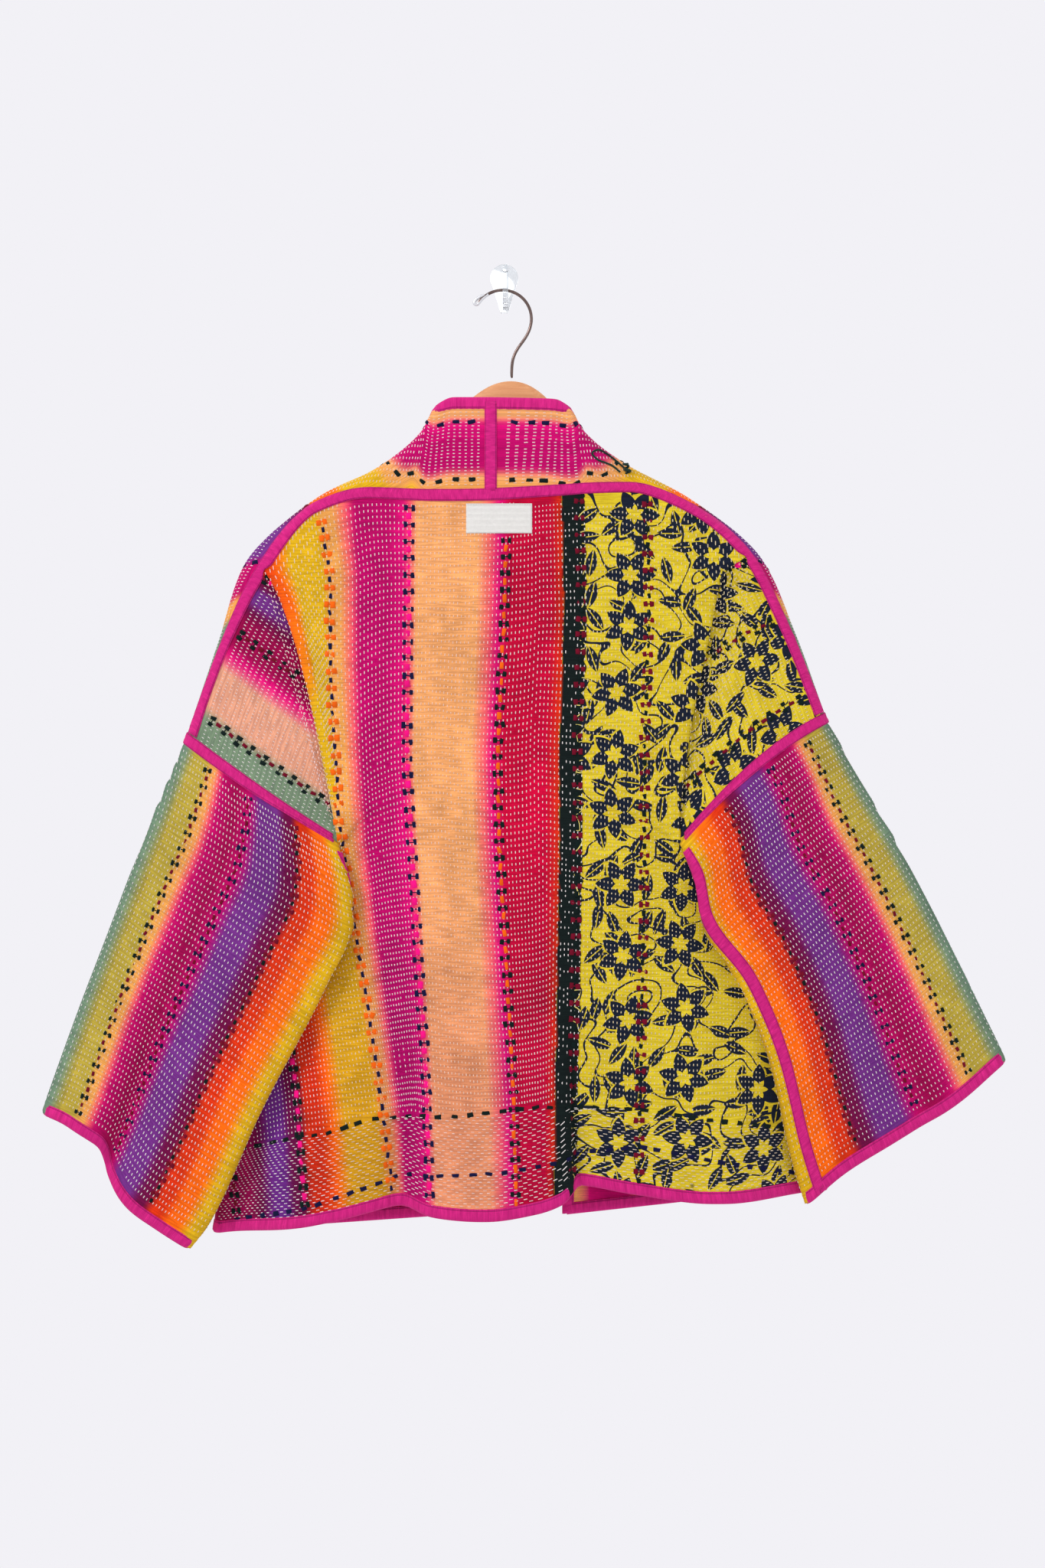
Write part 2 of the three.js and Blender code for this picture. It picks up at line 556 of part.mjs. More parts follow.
// Solid between two grids of the same size. The quads of its second half can be split the other way,
// so that both sides of a folded tape follow the facets of one cloth.
function between(bottom, top, folded = false) {
  const rows = bottom.length;
  const columns = bottom[0].length;
  const n = rows * columns;
  const faces = [];
  const quad = (a, b, c, d) => faces.push([a, b, c], [a, c, d]);
  const other = (a, b, c, d) => faces.push([a, b, d], [b, c, d]);
  const id = (i, j) => i * columns + j;
  for (let i = 0; i + 1 < rows; i++) {
    for (let j = 0; j + 1 < columns; j++) {
      const [a, b, c, d] = [id(i, j), id(i + 1, j), id(i + 1, j + 1), id(i, j + 1)];
      const add = folded && j >= columns / 2 ? other : quad;
      add(a, b, c, d);
      faces.push(...faces.slice(-2).map((face) => face.map((k) => n + k).reverse()));
    }
    quad(id(i, 0), n + id(i, 0), n + id(i + 1, 0), id(i + 1, 0));
    const last = columns - 1;
    quad(id(i, last), id(i + 1, last), n + id(i + 1, last), n + id(i, last));
  }
  for (let j = 0; j + 1 < columns; j++) {
    quad(id(0, j), id(0, j + 1), n + id(0, j + 1), n + id(0, j));
    const last = rows - 1;
    quad(id(last, j), n + id(last, j), n + id(last, j + 1), id(last, j + 1));
  }
  const made = geometry([...top.flat(), ...bottom.flat()], faces);
  if (volume(made) < 0) {
    made.setIndex(faces.map(([a, b, c]) => [a, c, b]).flat());
    made.computeVertexNormals();
  }
  return made;
}

function volume(made) {
  const [position, index] = [made.attributes.position, made.index];
  const corner = (k) => new THREE.Vector3().fromBufferAttribute(position, index.getX(k));
  let sum = 0;
  for (let k = 0; k < index.count; k += 3) sum += corner(k).dot(corner(k + 1).cross(corner(k + 2)));
  return sum / 6;
}

// Tape folded round a free edge: stations along the edge, each with the point a tape's reach inside it
function edgeTape(stations, normals, lifts, extra) {
  const facing = (p) => normals.get(spot(p));
  const layer = (height) => stations.map((s, i) => {
    const h = height === 0 ? 0 : height + extra[i];
    const near = CLOTH / 2 + GAP + lifts[i];
    const from = s.near ?? s;
    const q = mix(s.edge, s.inside, Math.min(TUCK, (TUCK * EDGE_TAPE) / s.edge.distanceTo(s.inside)));
    const out = s.edge.clone().sub(s.inside).normalize();
    const n = facing(from.edge);
    const m = facing(from.inside) ?? n;
    const corner = s.edge.clone().addScaledVector(out, GAP + h);
    return [
      q.clone().addScaledVector(m, near + h),
      corner.clone().addScaledVector(n, near + h),
      corner.clone().addScaledVector(n, -near - h),
      q.clone().addScaledVector(m, -near - h),
    ];
  });
  return between(layer(0), layer(TAPE), true);
}

// Materials
const colour = (hex, roughness, metalness = 0) => new THREE.MeshStandardMaterial({ color: hex, roughness, metalness });
const COTTON = colour(0xb0305a, 0.9);
const BINDING = colour(0xc8187c, 0.85);
const LABEL = colour(0xf4f1ea, 0.8);
const THREAD = colour(0x17332c, 0.9);
const BEECH = colour(0xd9c3a3, 0.55);
const STEEL = colour(0xb9bcc0, 0.25, 1);
const CLEAR = colour(0xe6ecee, 0.1);

const jacket = new THREE.Group();
function piece(name, made, material) {
  const mesh = new THREE.Mesh(made, material);
  mesh.name = name;
  jacket.add(mesh);
  return mesh;
}

// Cloth pieces
const back = backPanel();
const wings = { left: wing(LEFT, back.edges), right: wing(RIGHT, back.edges) };
const fronts = { left: front(LEFT, back.edges), right: front(RIGHT, back.edges) };
const sleeves = { left: sleeve(LEFT), right: sleeve(RIGHT) };

const surfaces = {
  back: weld({ grid: back.grid }, { grid: wings.left }, { grid: wings.right, flip: true }),
  front_left: weld({ grid: fronts.left.over }, { grid: fronts.left.wall }),
  front_right: weld({ grid: fronts.right.over, flip: true }, { grid: fronts.right.wall, flip: true }),
  sleeve_left: weld({ grid: sleeves.left, flip: true }),
  sleeve_right: weld({ grid: sleeves.right }),
};
const sums = new Map();
Object.values(surfaces).forEach((surface) => addNormals(surface, sums));
const normals = normalsOf(sums);
const cloth = Object.fromEntries(Object.entries(surfaces).map(([name, surface]) => [
  name, wall(surface, normals, -CLOTH / 2, CLOTH / 2, SEAM_GAP / 2),
]));
for (const { x, y, z, radius } of CLEARANCES) cloth.back = relieved(cloth.back, P(x, y, z), radius);
for (const [name, made] of Object.entries(cloth)) piece(name, made, COTTON);

// Makes a piece again with more clearance at the stations where it would cut into the pieces beside it.
// What still cuts in after the last round is taken away along the faces of the cloth, moved out.
function fitted(make, stations, { reach, rounds, step }) {
  const none = stations.map(() => 0);
  const lifts = [...none];
  const others = jacket.children.map((mesh) => toSolid(mesh.geometry));
  const near = (p, { min, max }) => ["x", "y", "z"].every((k, i) => p[k] > min[i] - reach && p[k] < max[i] + reach);
  for (let round = 0; round < rounds; round++) {
    const made = make(lifts, none);
    const solid = toSolid(made);
    const hits = others.flatMap((other) => other.intersect(solid).decompose())
      .filter((hit) => hit.volume() > FIT_ALLOWED).map((hit) => hit.boundingBox());
    if (hits.length === 0) return made;
    stations.forEach((p, i) => {
      if (hits.some((box) => near(p, box))) lifts[i] += step;
    });
  }
  const full = toSolid(make(none, lifts.map((lift) => (lift > 0 ? FIT_EXTRA : 0))));
  const parts = [...grown, ...others].reduce((solid, cover) => solid.subtract(cover), full).decompose();
  return fromSolid(largest(parts).simplify(FIT_DETAIL));
}
const grown = Object.values(surfaces).map((surface) => (
  toSolid(wall(surface, normals, -CLOTH / 2 - GAP, CLOTH / 2 + GAP, SEAM_GAP / 2 - GAP))
));

// Tape over the seams. Rows and columns of the grids are counted from the seam that the tape covers.
const MIDDLE_COLUMN = TURN_BACK.length + NECK_LINES.length;
const LAST_COLUMN = 2 * MIDDLE_COLUMN;
const SHOULDER_COLUMNS = [...NECK_LINES.keys()].slice(1);
const DROP_ROWS = [...DROP_LINES.keys()].slice(2, -1);
const TOP = NECK_LINES.length;

function shoulderStations(half) {
  const { over } = fronts[half.name];
  const body = (n) => back.grid[1][MIDDLE_COLUMN + half.sign * n];
  const station = (column, otherSide) => ({ middle: over[0][column], oneSide: over[1][column], otherSide });
  return [
    ...SHOULDER_COLUMNS.map((n) => station(n, body(n))),
    station(TOP, body(TOP)),
    ...DROP_ROWS.map((i) => station(TOP + i, wings[half.name][i][1])),
  ];
}

function tapeOver(name, stations) {
  const make = (lifts, extra) => seamTape(stations, normals, lifts, extra);
  piece(name, fitted(make, stations.map((s) => s.middle), TAPE_FIT), BINDING);
}

function wrap(name, stations, closed) {
  const ends = [...stations];
  const shorten = (a, b, gap) => {
    const t = gap / a.edge.distanceTo(b.edge);
    return { edge: mix(a.edge, b.edge, t), inside: mix(a.inside, b.inside, t), near: a };
  };
  if (closed.start) ends[0] = shorten(stations[0], stations[1], closed.start);
  if (closed.end) ends[ends.length - 1] = shorten(stations.at(-1), stations.at(-2), closed.end);
  const make = (lifts, extra) => edgeTape(ends, normals, lifts, extra);
  piece(name, fitted(make, ends.map((s) => s.edge), TAPE_FIT), BINDING);
}

const collarMiddle = fronts.left.over;
tapeOver("bind_neck_shoulder", [
  ...shoulderStations(LEFT).reverse(),
  { middle: collarMiddle[0][0], oneSide: collarMiddle[1][0], otherSide: back.grid[1][MIDDLE_COLUMN] },
  ...shoulderStations(RIGHT),
]);
tapeOver("bind_centre_back", [...collarMiddle.keys()].slice(1, -1).map((i) => ({
  middle: collarMiddle[i][0], oneSide: fronts.left.over[i][1], otherSide: fronts.right.over[i][1],
})));

const seamNormal = (row) => [row[0], row.at(-1)].map((p) => normals.get(spot(p)))
  .reduce((a, b) => a.clone().add(b)).normalize();

for (const half of [LEFT, RIGHT]) {
  const { over, wall: rear } = fronts[half.name];
  const arm = sleeves[half.name];
  const fan = wings[half.name];
  const near = DROP_LINES.length - 2;
  const overColumn = over[0].length - 2;
  const rearColumn = rear[0].length - 2;
  const beside = [
    ...fan[near].slice(0, -1).reverse(),
    ...over.slice(1).map((row) => row[overColumn]),
    ...rear.slice(1, WALL_LINES.length).map((row) => row[rearColumn]),
  ];
  tapeOver(`bind_armhole_${half.name}`, beside.map((otherSide, k) => ({
    middle: arm[0][k + 1], oneSide: arm[1][k + 1], otherSide,
  })));
  tapeOver(`bind_underarm_${half.name}`, arm.slice(2, -1).map((row) => ({
    middle: mix(row[0], row.at(-1), 0.5), oneSide: row[1], otherSide: row.at(-2), facing: seamNormal(row),
  })));
  const sideColumn = half.sign < 0 ? 0 : LAST_COLUMN;
  tapeOver(`bind_side_${half.name}`, back.grid.slice(DROP_LINES.length, -1).map((row, i) => ({
    middle: row[sideColumn],
    oneSide: row[sideColumn - half.sign],
    otherSide: rear[WALL_LINES.length + 1 + i][rearColumn],
  })));
  const cuff = arm.at(-1).map((edge, j) => ({ edge, inside: arm.at(-2)[j] })).slice(1, half.cuffTape);
  wrap(`bind_cuff_${half.name}`, cuff, {});
  const collar = over.at(-1).map((edge, j) => ({ edge, inside: over.at(-2)[j] }));
  wrap(`bind_collar_${half.name}`, collar.slice(0, NECK_LINES.indexOf(COLLAR_LINE) + 1), { start: GAP });
  wrap(`bind_front_${half.name}`, rear.slice(1).map((row) => ({ edge: row[0], inside: row[1] })), {});
  const hem = rear.at(-1).map((edge, j) => ({ edge, inside: rear.at(-2)[j] })).slice(1);
  wrap(`bind_hem_${half.name}`, hem, { end: TAPE_END });
}
wrap("bind_hem_back", back.grid.at(-1).map((edge, j) => ({ edge, inside: back.grid.at(-2)[j] })),
  { start: TAPE_END, end: TAPE_END });

// Point of a surface seen at x, z, moved out along the face it lies on
const ROUNDING = 1e-6;
function onto({ points, faces }, x, z, out) {
  let best = null;
  for (const [a, b, c] of faces.map((face) => face.map((k) => points[k]))) {
    const area = (b.x - a.x) * (c.z - a.z) - (c.x - a.x) * (b.z - a.z);
    const s = ((x - a.x) * (c.z - a.z) - (c.x - a.x) * (z - a.z)) / area;
    const t = ((b.x - a.x) * (z - a.z) - (x - a.x) * (b.z - a.z)) / area;
    if (!(Math.min(s, t, 1 - s - t) > -ROUNDING)) continue;
    const y = a.y + s * (b.y - a.y) + t * (c.y - a.y);
    if (best && best.y < y) continue;
    const n = b.clone().sub(a).cross(c.clone().sub(a)).normalize();
    best = P(x, y, z);
    best.normal = n;
  }
  return best.clone().addScaledVector(best.normal, out);
}

// Label, sewn to the back panel under the neck seam
const labelXs = [LABEL_BOX.left, ...back.grid[1].map((p) => p.x)
  .filter((x) => x > LABEL_BOX.left + 2 && x < LABEL_BOX.right - 2), LABEL_BOX.right];
const labelLayer = (out) => [LABEL_BOX.top, LABEL_BOX.bottom]
  .map((z) => labelXs.map((x) => onto(surfaces.back, x, z, out)));
piece("label", between(labelLayer(CLOTH / 2 + GAP), labelLayer(CLOTH / 2 + GAP + LABEL_BOX.thick)), LABEL);

// Tail of thread at the knot on the right shoulder
const threadPoints = (lifts) => THREAD_PATH.map(({ x, z }, i) => (
  onto(surfaces.front_right, x, z, CLOTH / 2 + GAP + THREAD_RADIUS + lifts[i])
));
const threadTube = (lifts) => {
  const curve = new THREE.CatmullRomCurve3(threadPoints(lifts));
  return tube(curve.getPoints(THREAD_STEPS), THREAD_RADIUS, THREAD_SIDES);
};
piece("thread_tail", fitted(threadTube, threadPoints(THREAD_PATH.map(() => 0)), THREAD_FIT), THREAD);

// Round rod along a path, its section turned to face the viewer
function tube(path, radius, sides) {
  const rings = path.map((p, i) => {
    const along = path[Math.min(i + 1, path.length - 1)].clone().sub(path[Math.max(i - 1, 0)]).normalize();
    const side = along.clone().cross(P(0, 1, 0)).normalize();
    const up = side.clone().cross(along);
    return Array.from({ length: sides }, (_, k) => {
      const angle = (2 * Math.PI * (k + 0.5)) / sides;
      return p.clone().addScaledVector(side, radius * Math.cos(angle)).addScaledVector(up, radius * Math.sin(angle));
    });
  });
  return loft(rings);
}

// Solid through closed rings of points, with flat ends
function loft(rings) {
  const sides = rings[0].length;
  const faces = [];
  const id = (i, k) => i * sides + (k % sides);
  for (let i = 0; i + 1 < rings.length; i++) {
    for (let k = 0; k < sides; k++) {
      faces.push([id(i, k), id(i, k + 1), id(i + 1, k + 1)], [id(i, k), id(i + 1, k + 1), id(i + 1, k)]);
    }
  }
  const last = rings.length - 1;
  for (let k = 1; k + 1 < sides; k++) {
    faces.push([id(0, 0), id(0, k + 1), id(0, k)], [id(last, 0), id(last, k), id(last, k + 1)]);
  }
  const made = geometry(rings.flat(), faces);
  if (volume(made) < 0) made.setIndex(faces.map(([a, b, c]) => [a, c, b]).flat());
  made.computeVertexNormals();
  return made;
}

// Wooden hanger: its shoulders follow the cloth that hangs on them
function woodTop(half) {
  const line = NECK_LINES.slice(NECK_LINES.indexOf(OPENING_LINE)).map((at) => read(half.stations, at));
  return line.map((s, i) => {
    const [a, b] = [line[Math.max(i - 1, 0)], line[Math.min(i + 1, line.length - 1)]];
    const slope = Math.abs((b.ridgeZ - a.ridgeZ) / (b.ridgeX - a.ridgeX));
    return { x: s.ridgeX, z: s.ridgeZ - (CLOTH / 2 + REST_GAP) * Math.hypot(1, slope) };
  });
}

function woodSections() {
  const [left, right] = [LEFT, RIGHT].map((half) => {
    const line = woodTop(half).filter(({ x }) => Math.abs(x) < half.hangerEnd);
    const [a, b] = line.slice(-2);
    const t = (half.sign * half.hangerEnd - a.x) / (b.x - a.x);
    return [...line, { x: half.sign * half.hangerEnd, z: lerp(a.z, b.z, t) }];
  });
  const top = [...left.reverse(), ...WOOD_HUMP, ...right];
  const ends = [LEFT, RIGHT].map((half) => half.sign * half.hangerEnd);
  return top.map(({ x, z }, i) => {
    const out = Math.abs(x) / Math.max(...ends.map(Math.abs));
    const tip = i === 0 || i === top.length - 1 ? WOOD_TIP : 1;
    const height = lerp(WOOD_HEIGHT.middle, WOOD_HEIGHT.end, clamp(out));
    const [high, thick] = [(height / 2) * tip, (WOOD_THICK / 2) * tip];
    return Array.from({ length: WOOD_SIDES }, (_, k) => {
      const angle = (2 * Math.PI * k) / WOOD_SIDES;
      return P(x, HANG_Y + thick * Math.sin(angle), z - height / 2 + high * Math.cos(angle) - (tip < 1 ? 2 : 0));
    });
  });
}
const sections = woodSections();
const lowered = (lifts) => loft(sections.map((ring, i) => ring.map((p) => P(p.x, p.y, p.z - lifts[i]))));
piece("hanger_wood", fitted(lowered, sections.map((ring) => ring[0]), WOOD_FIT), BEECH);

// Wire hook of the hanger
const bend = Array.from({ length: BEND.steps + 1 }, (_, i) => {
  const angle = (lerp(BEND.from, BEND.to, i / BEND.steps) * Math.PI) / 180;
  return P(BEND.x + BEND.radius * Math.cos(angle), HANG_Y, BEND.z + BEND.radius * Math.sin(angle));
});
const wirePath = [...bend, ...STEM.map(({ x, z }) => P(x, HANG_Y, z))];
piece("hanger_hook", tube(wirePath, WIRE_RADIUS, WIRE_SIDES), STEEL);

// Clear wall hook: a plate, and an arm that carries the wire and turns up in front of it
const plate = new THREE.Shape();
plate.absarc(0, 0, PLATE.radius, -PLATE.lean, Math.PI + PLATE.lean);
plate.lineTo(-PLATE.foot / 2, PLATE.bottom);
plate.lineTo(PLATE.foot / 2, PLATE.bottom);
const plateSolid = new THREE.ExtrudeGeometry(plate, { depth: PLATE.thick, bevelEnabled: false, curveSegments: 20 });
plateSolid.rotateX(Math.PI / 2);
const arm = new THREE.Shape(ARM_PROFILE.map(({ y, z }) => new THREE.Vector2(y, z)));
const armSolid = new THREE.ExtrudeGeometry(arm, { depth: ARM.width, bevelEnabled: false });
armSolid.applyMatrix4(new THREE.Matrix4().set(0, 0, 1, ARM.x - ARM.width / 2, 1, 0, 0, 0, 0, 1, 0, 0, 0, 0, 0, 1));
const head = new THREE.SphereGeometry(ARM.head, 16, 10).translate(ARM.x, ARM.headY, ARM.headZ);
piece("wall_hook", fromSolid(toSolid(plateSolid).add(toSolid(armSolid)).add(toSolid(head))), CLEAR);

export default jacket;
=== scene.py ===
import math

import bmesh
import bpy
import numpy as np
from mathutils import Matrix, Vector
from mathutils.bvhtree import BVHTree


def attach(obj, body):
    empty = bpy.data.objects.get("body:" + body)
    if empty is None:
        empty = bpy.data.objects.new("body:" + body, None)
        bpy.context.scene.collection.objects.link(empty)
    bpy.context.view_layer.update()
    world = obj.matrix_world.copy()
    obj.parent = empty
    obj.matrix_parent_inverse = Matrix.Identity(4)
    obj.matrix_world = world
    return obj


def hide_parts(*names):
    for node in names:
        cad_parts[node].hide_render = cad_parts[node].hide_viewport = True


# A quilted cotton jacket on a wooden hanger. The cloth is built in millimetres from the same curves as the
# frame, finer, and turned into metres when a mesh is made.

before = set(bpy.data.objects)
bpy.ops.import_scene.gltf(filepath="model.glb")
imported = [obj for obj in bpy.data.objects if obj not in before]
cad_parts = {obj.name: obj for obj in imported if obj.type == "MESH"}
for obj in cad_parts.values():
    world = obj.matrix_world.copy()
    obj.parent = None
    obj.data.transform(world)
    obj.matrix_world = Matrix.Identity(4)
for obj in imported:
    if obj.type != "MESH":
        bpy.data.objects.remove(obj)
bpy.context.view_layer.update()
rng = np.random.default_rng(7)

MM = 0.001
CLOTH = 2.5           # thickness of the quilted cloth
HALF = CLOTH / 2
PITCH = 5.8          # from one row of stitches to the next
COLUMN = 3.6         # between neighbouring lines of stitches
RELIEF = 0.38        # height of the ridges between the rows
HANG_Y = -30         # middle plane of the hanger
CHEST_Y, HEM_Y = -52, -57
CHEST_Z, HEM_Z = -300, -900
TURN_IN, SETTLE = 95, 70   # how far in from a side, and down from the neck, the back reaches its plane
UNDERARM = 0.41      # height of the underarm, as a share of the way down the side
SLIT = 1.5           # half opening of a sleeve at its folds by the armhole
SEAM_END = 0.03      # place of the shoulder seam's end on the armhole
OPENING, SHOULDER_START, SHOULDER_END = 2.0, 5.0, 7.0   # stations along the neck and shoulder seam


def lerp(a, b, t):
    return a + (b - a) * t


def smooth(t):
    t = np.clip(t, 0, 1)
    return t * t * (3 - 2 * t)


def bell(t, middle, width):
    return np.exp(-(((t - middle) / width) ** 2))


def unit(v):
    return v / np.maximum(np.linalg.norm(v, axis=-1, keepdims=True), 1e-9)


def curve(rows, t):
    """Every later column of a table at t, on a smooth curve that never overshoots its rows."""
    rows = np.asarray(rows, float)
    at, columns = rows[:, 0], rows[:, 1:]
    h = np.diff(at)
    rise = np.diff(columns, axis=0) / h[:, None]
    before, after = rise[:-1], rise[1:]
    same = before * after > 0
    total = np.where(same, before + after, 1)
    slope = np.concatenate([rise[:1], np.where(same, 2 * before * after / total, 0), rise[-1:]])
    t = np.asarray(t, float)
    i = np.clip(np.searchsorted(at, t) - 1, 0, len(h) - 1)
    s = np.clip((t - at[i]) / h[i], 0, 1)[..., None]
    step = h[i][..., None]
    s2, s3 = s * s, s * s * s
    return (columns[i] * (2 * s3 - 3 * s2 + 1) + slope[i] * step * (s3 - 2 * s2 + s)
            + columns[i + 1] * (3 * s2 - 2 * s3) + slope[i + 1] * step * (s3 - s2))


def measured(rows):
    """The rows with their share of the way in front."""
    rows = np.asarray(rows, float)
    flat = rows[:, [0, -1]]
    length = np.concatenate([[0], np.cumsum(np.linalg.norm(np.diff(flat, axis=0), axis=1))])
    return np.column_stack([length / length[-1], rows])


# Columns of the tables, after the first, which is the place along the curve:
# stations: seam x, seam z, ridge x, ridge z, plane, radius, turn
# fold: x, y, z, inset, rear, overlap
# depth: outer, half depth there, belly, inner, half depth there, twist
LEFT = {
    "name": "left",
    "sign": -1,
    "stations": [
        [0.0, -12.2, -216, -12.2, -126, -50, 8, 0],
        [1.0, -50, -216.6, -47, -126, -50, 8, 15],
        [1.5, -72, -216.6, -64, -134, -50, 10, 75],
        [2.0, -90, -216, -77, -155, -50, 16, 180],
        [3.0, -130, -214.5, -120, -189.5, -50, 20, 180],
        [4.0, -178, -228, -172, -215, -50, 20, 180],
        [5.0, -225.6, -284.5, -245, -281, -49, 19, 180],
        [6.0, -260, -349, -270, -356, -44, 14, 180],
        [7.0, -295, -441, -300, -444, -40, 10, 180],
    ],
    "fold": [
        [0.0, -225.6, -49, -284.5, 0, -49, 0],
        [0.1, -210, -52, -312.5, 8, -42, 1],
        [0.34, -189, -53.5, -375.6, 10, -41, 1],
        [0.66, -170, -53.5, -460, 10, -42, 1],
        [0.9, -159, -53.5, -520, 6, -46, 0.5],
        [1.0, -155.5, -51.5, -543, 0, -51.5, 0],
        [1.014, -160, -48.5, -549, 6, -42, 0],
        [1.12, -172, -46, -590, 12, -30, 0],
        [1.35, -197, -38, -677, 15, -19, 0],
        [1.68, -240, -30, -800, 16, -13, 0],
        [1.9, -272, -22, -880, 16, -9, 0],
        [2.0, -277, -20, -914, 16, -9, 0],
    ],
    "outer": measured([[-300, -444], [-347, -555], [-377, -633], [-401, -695], [-422, -752], [-438.5, -798]]),
    "inner": measured([[-155.5, -543], [-141.5, -594], [-141, -618], [-167, -677], [-228, -793], [-279, -902],
                       [-297, -926]]),
    "depth": [
        [0.0, -30, 10, 6, -50, 2, 0],
        [0.013, -30, 10, 5, -56, 2.5, 0],
        [0.1, -31, 10, 4, -59, 4, 0.03],
        [0.25, -31, 10, 2, -58, 4, 0.065],
        [0.4, -30, 10, 1, -52, 4, 0.07],
        [0.7, -28, 9, 0, -43, 4.5, 0.07],
        [1.0, -26, 9, 0, -35, 5, 0.07],
    ],
    "bow": -2,
    "cuff": [[0, 0], [0.16, -11], [0.31, -15], [0.46, 2], [0.65, 10], [0.82, 6], [1, 0]],
    "cuff_fold": -9,
    "opening": measured([[-76, -18, -171], [-71, -11, -215], [-64, -9, -330], [-58, -8, -620],
                         [-56, -8, -900]]),
}

RIGHT = {
    "name": "right",
    "sign": 1,
    "stations": [
        [0.0, -12.2, -216, -12.2, -126, -50, 8, 0],
        [1.0, 40, -213, 46, -127.5, -50, 8, 15],
        [1.5, 66, -211.5, 61, -134, -50, 10, 75],
        [2.0, 84, -210.3, 75, -155, -50, 16, 180],
        [3.0, 122, -209.7, 112, -184, -50, 20, 180],
        [4.0, 180, -231, 177, -219.5, -50, 20, 180],
        [5.0, 228.6, -272.7, 243, -275, -49, 19, 180],
        [6.0, 265, -340, 275, -346, -44, 14, 180],
        [7.0, 299, -424, 304, -425, -40, 10, 180],
    ],
    "fold": [
        [0.0, 228.6, -49, -272.7, 0, -49, 0],
        [0.1, 206, -51, -290, 8, -42, 1],
        [0.33, 192, -53.5, -348, 10, -41, 1],
        [0.7, 171, -53.5, -459, 10, -42, 1],
        [0.92, 165, -53.5, -520, 6, -46, 0.5],
        [1.0, 165, -51.5, -544, 0, -51.5, 0],
        [1.014, 171, -48.5, -549, 6, -42, 0],
        [1.12, 186, -46, -590, 12, -30, 0],
        [1.37, 230, -38, -668, 15, -19, 0],
        [1.68, 272, -30, -770, 16, -13, 0],
        [1.92, 302, -22, -850, 16, -9, 0],
        [2.0, 308, -20, -874, 16, -9, 0],
    ],
    "outer": measured([[304, -425], [338, -486.5], [370, -541], [402.5, -602], [435, -666.5], [476.5, -747]]),
    "inner": measured([[165, -544], [180, -580], [184, -612], [221, -676], [252, -753], [272, -840],
                       [285, -884]]),
    "depth": [
        [0.0, -30, 10, 6, -50, 2, 0],
        [0.013, -30, 10, 5, -56, 2.5, -0.005],
        [0.1, -31, 10, 4, -58, 4, -0.02],
        [0.25, -31, 10, 2, -56, 4, -0.035],
        [0.45, -30, 10, 1, -50, 4, -0.065],
        [0.7, -28, 9, 0, -43, 4.5, -0.07],
        [1.0, -26, 9, 0, -36, 5, -0.075],
    ],
    "bow": 13,
    "cuff": [[0, 0], [0.33, 5], [0.57, 0], [0.8, -4], [1, 0]],
    "cuff_fold": -4,
    "opening": measured([[74, -18, -171], [69, -11, -215], [62, -9, -330], [57, -8, -620], [57, -8, -900]]),
}

HEM = [
    [0, -914], [0.095, -906], [0.193, -895], [0.306, -882], [0.355, -890], [0.45, -894],
    [0.525, -888], [0.576, -876.5], [0.592, -863], [0.68, -870], [0.81, -878.5], [1, -874],
]
FOLDS_START, FOLDS_FULL = -660, -880
VALLEY, CREST, PLEAT = (0.306, 0.035, 13), (0.4, 0.07, -5), (0.584, 0.008, 14, 0.12)

# Section of an overlap and of a rolled side, from the front: lap x, lap y, roll x, roll y
TURN_BACK = np.array([[6, 0, 1, 0], [0, 0.16, 0.3, 0.15], [6, 0.38, 0, 0.5], [14, 0.62, 0.3, 0.85],
                      [15, 0.82, 1, 1]])


def sleeve_point(half, along, c):
    along, c = np.broadcast_arrays(np.asarray(along, float), np.asarray(c, float))
    q = np.abs(c)
    out = curve(half["outer"], along)
    inn = curve(half["inner"], along)
    across = inn - out
    width = np.linalg.norm(across, axis=-1)
    dir_x, dir_z = across[..., 0] / width, across[..., 1] / width
    reach = half["sign"] * curve(half["cuff"], q)[..., 0] * smooth((along - 0.45) / 0.55)
    bow = half["bow"] * 4 * q * (1 - q) * (1 - smooth(along / 0.5))
    d = curve(half["depth"], along)
    outer, outer_half, belly, inner, inner_half = (d[..., k] for k in range(5))
    middle = lerp(outer, inner, smooth(q))
    depth = lerp(outer_half, inner_half, smooth(q)) + belly * 4 * q * (1 - q)
    wave = half["cuff_fold"] * smooth((along - 0.3) / 0.7) * (bell(q, 0.22, 0.13) - bell(q, 0.43, 0.08))

    def rounded(distance, radius):
        return np.sqrt(np.maximum(1 - (1 - np.minimum(distance / radius, 1)) ** 2, 0))

    opened = depth * rounded(q * width, outer_half) * rounded((1 - q) * width, 2 * inner_half)
    opened = np.maximum(opened, SLIT * np.clip(1 - along / 0.013, 0, 1))
    return np.stack([
        lerp(out[..., 0], inn[..., 0], q) - dir_z * reach,
        middle + wave - np.where(c < 0, -1, 1) * opened,
        lerp(out[..., 1], inn[..., 1], q) + dir_x * reach + bow,
    ], -1)


def sleeve_cloth(half, along, w):
    along, w = np.broadcast_arrays(np.asarray(along, float), np.asarray(w, float))
    c = w + curve(half["depth"], along)[..., 5]
    return sleeve_point(half, along, np.where(c > 1, c - 2, np.where(c < -1, c + 2, c)))


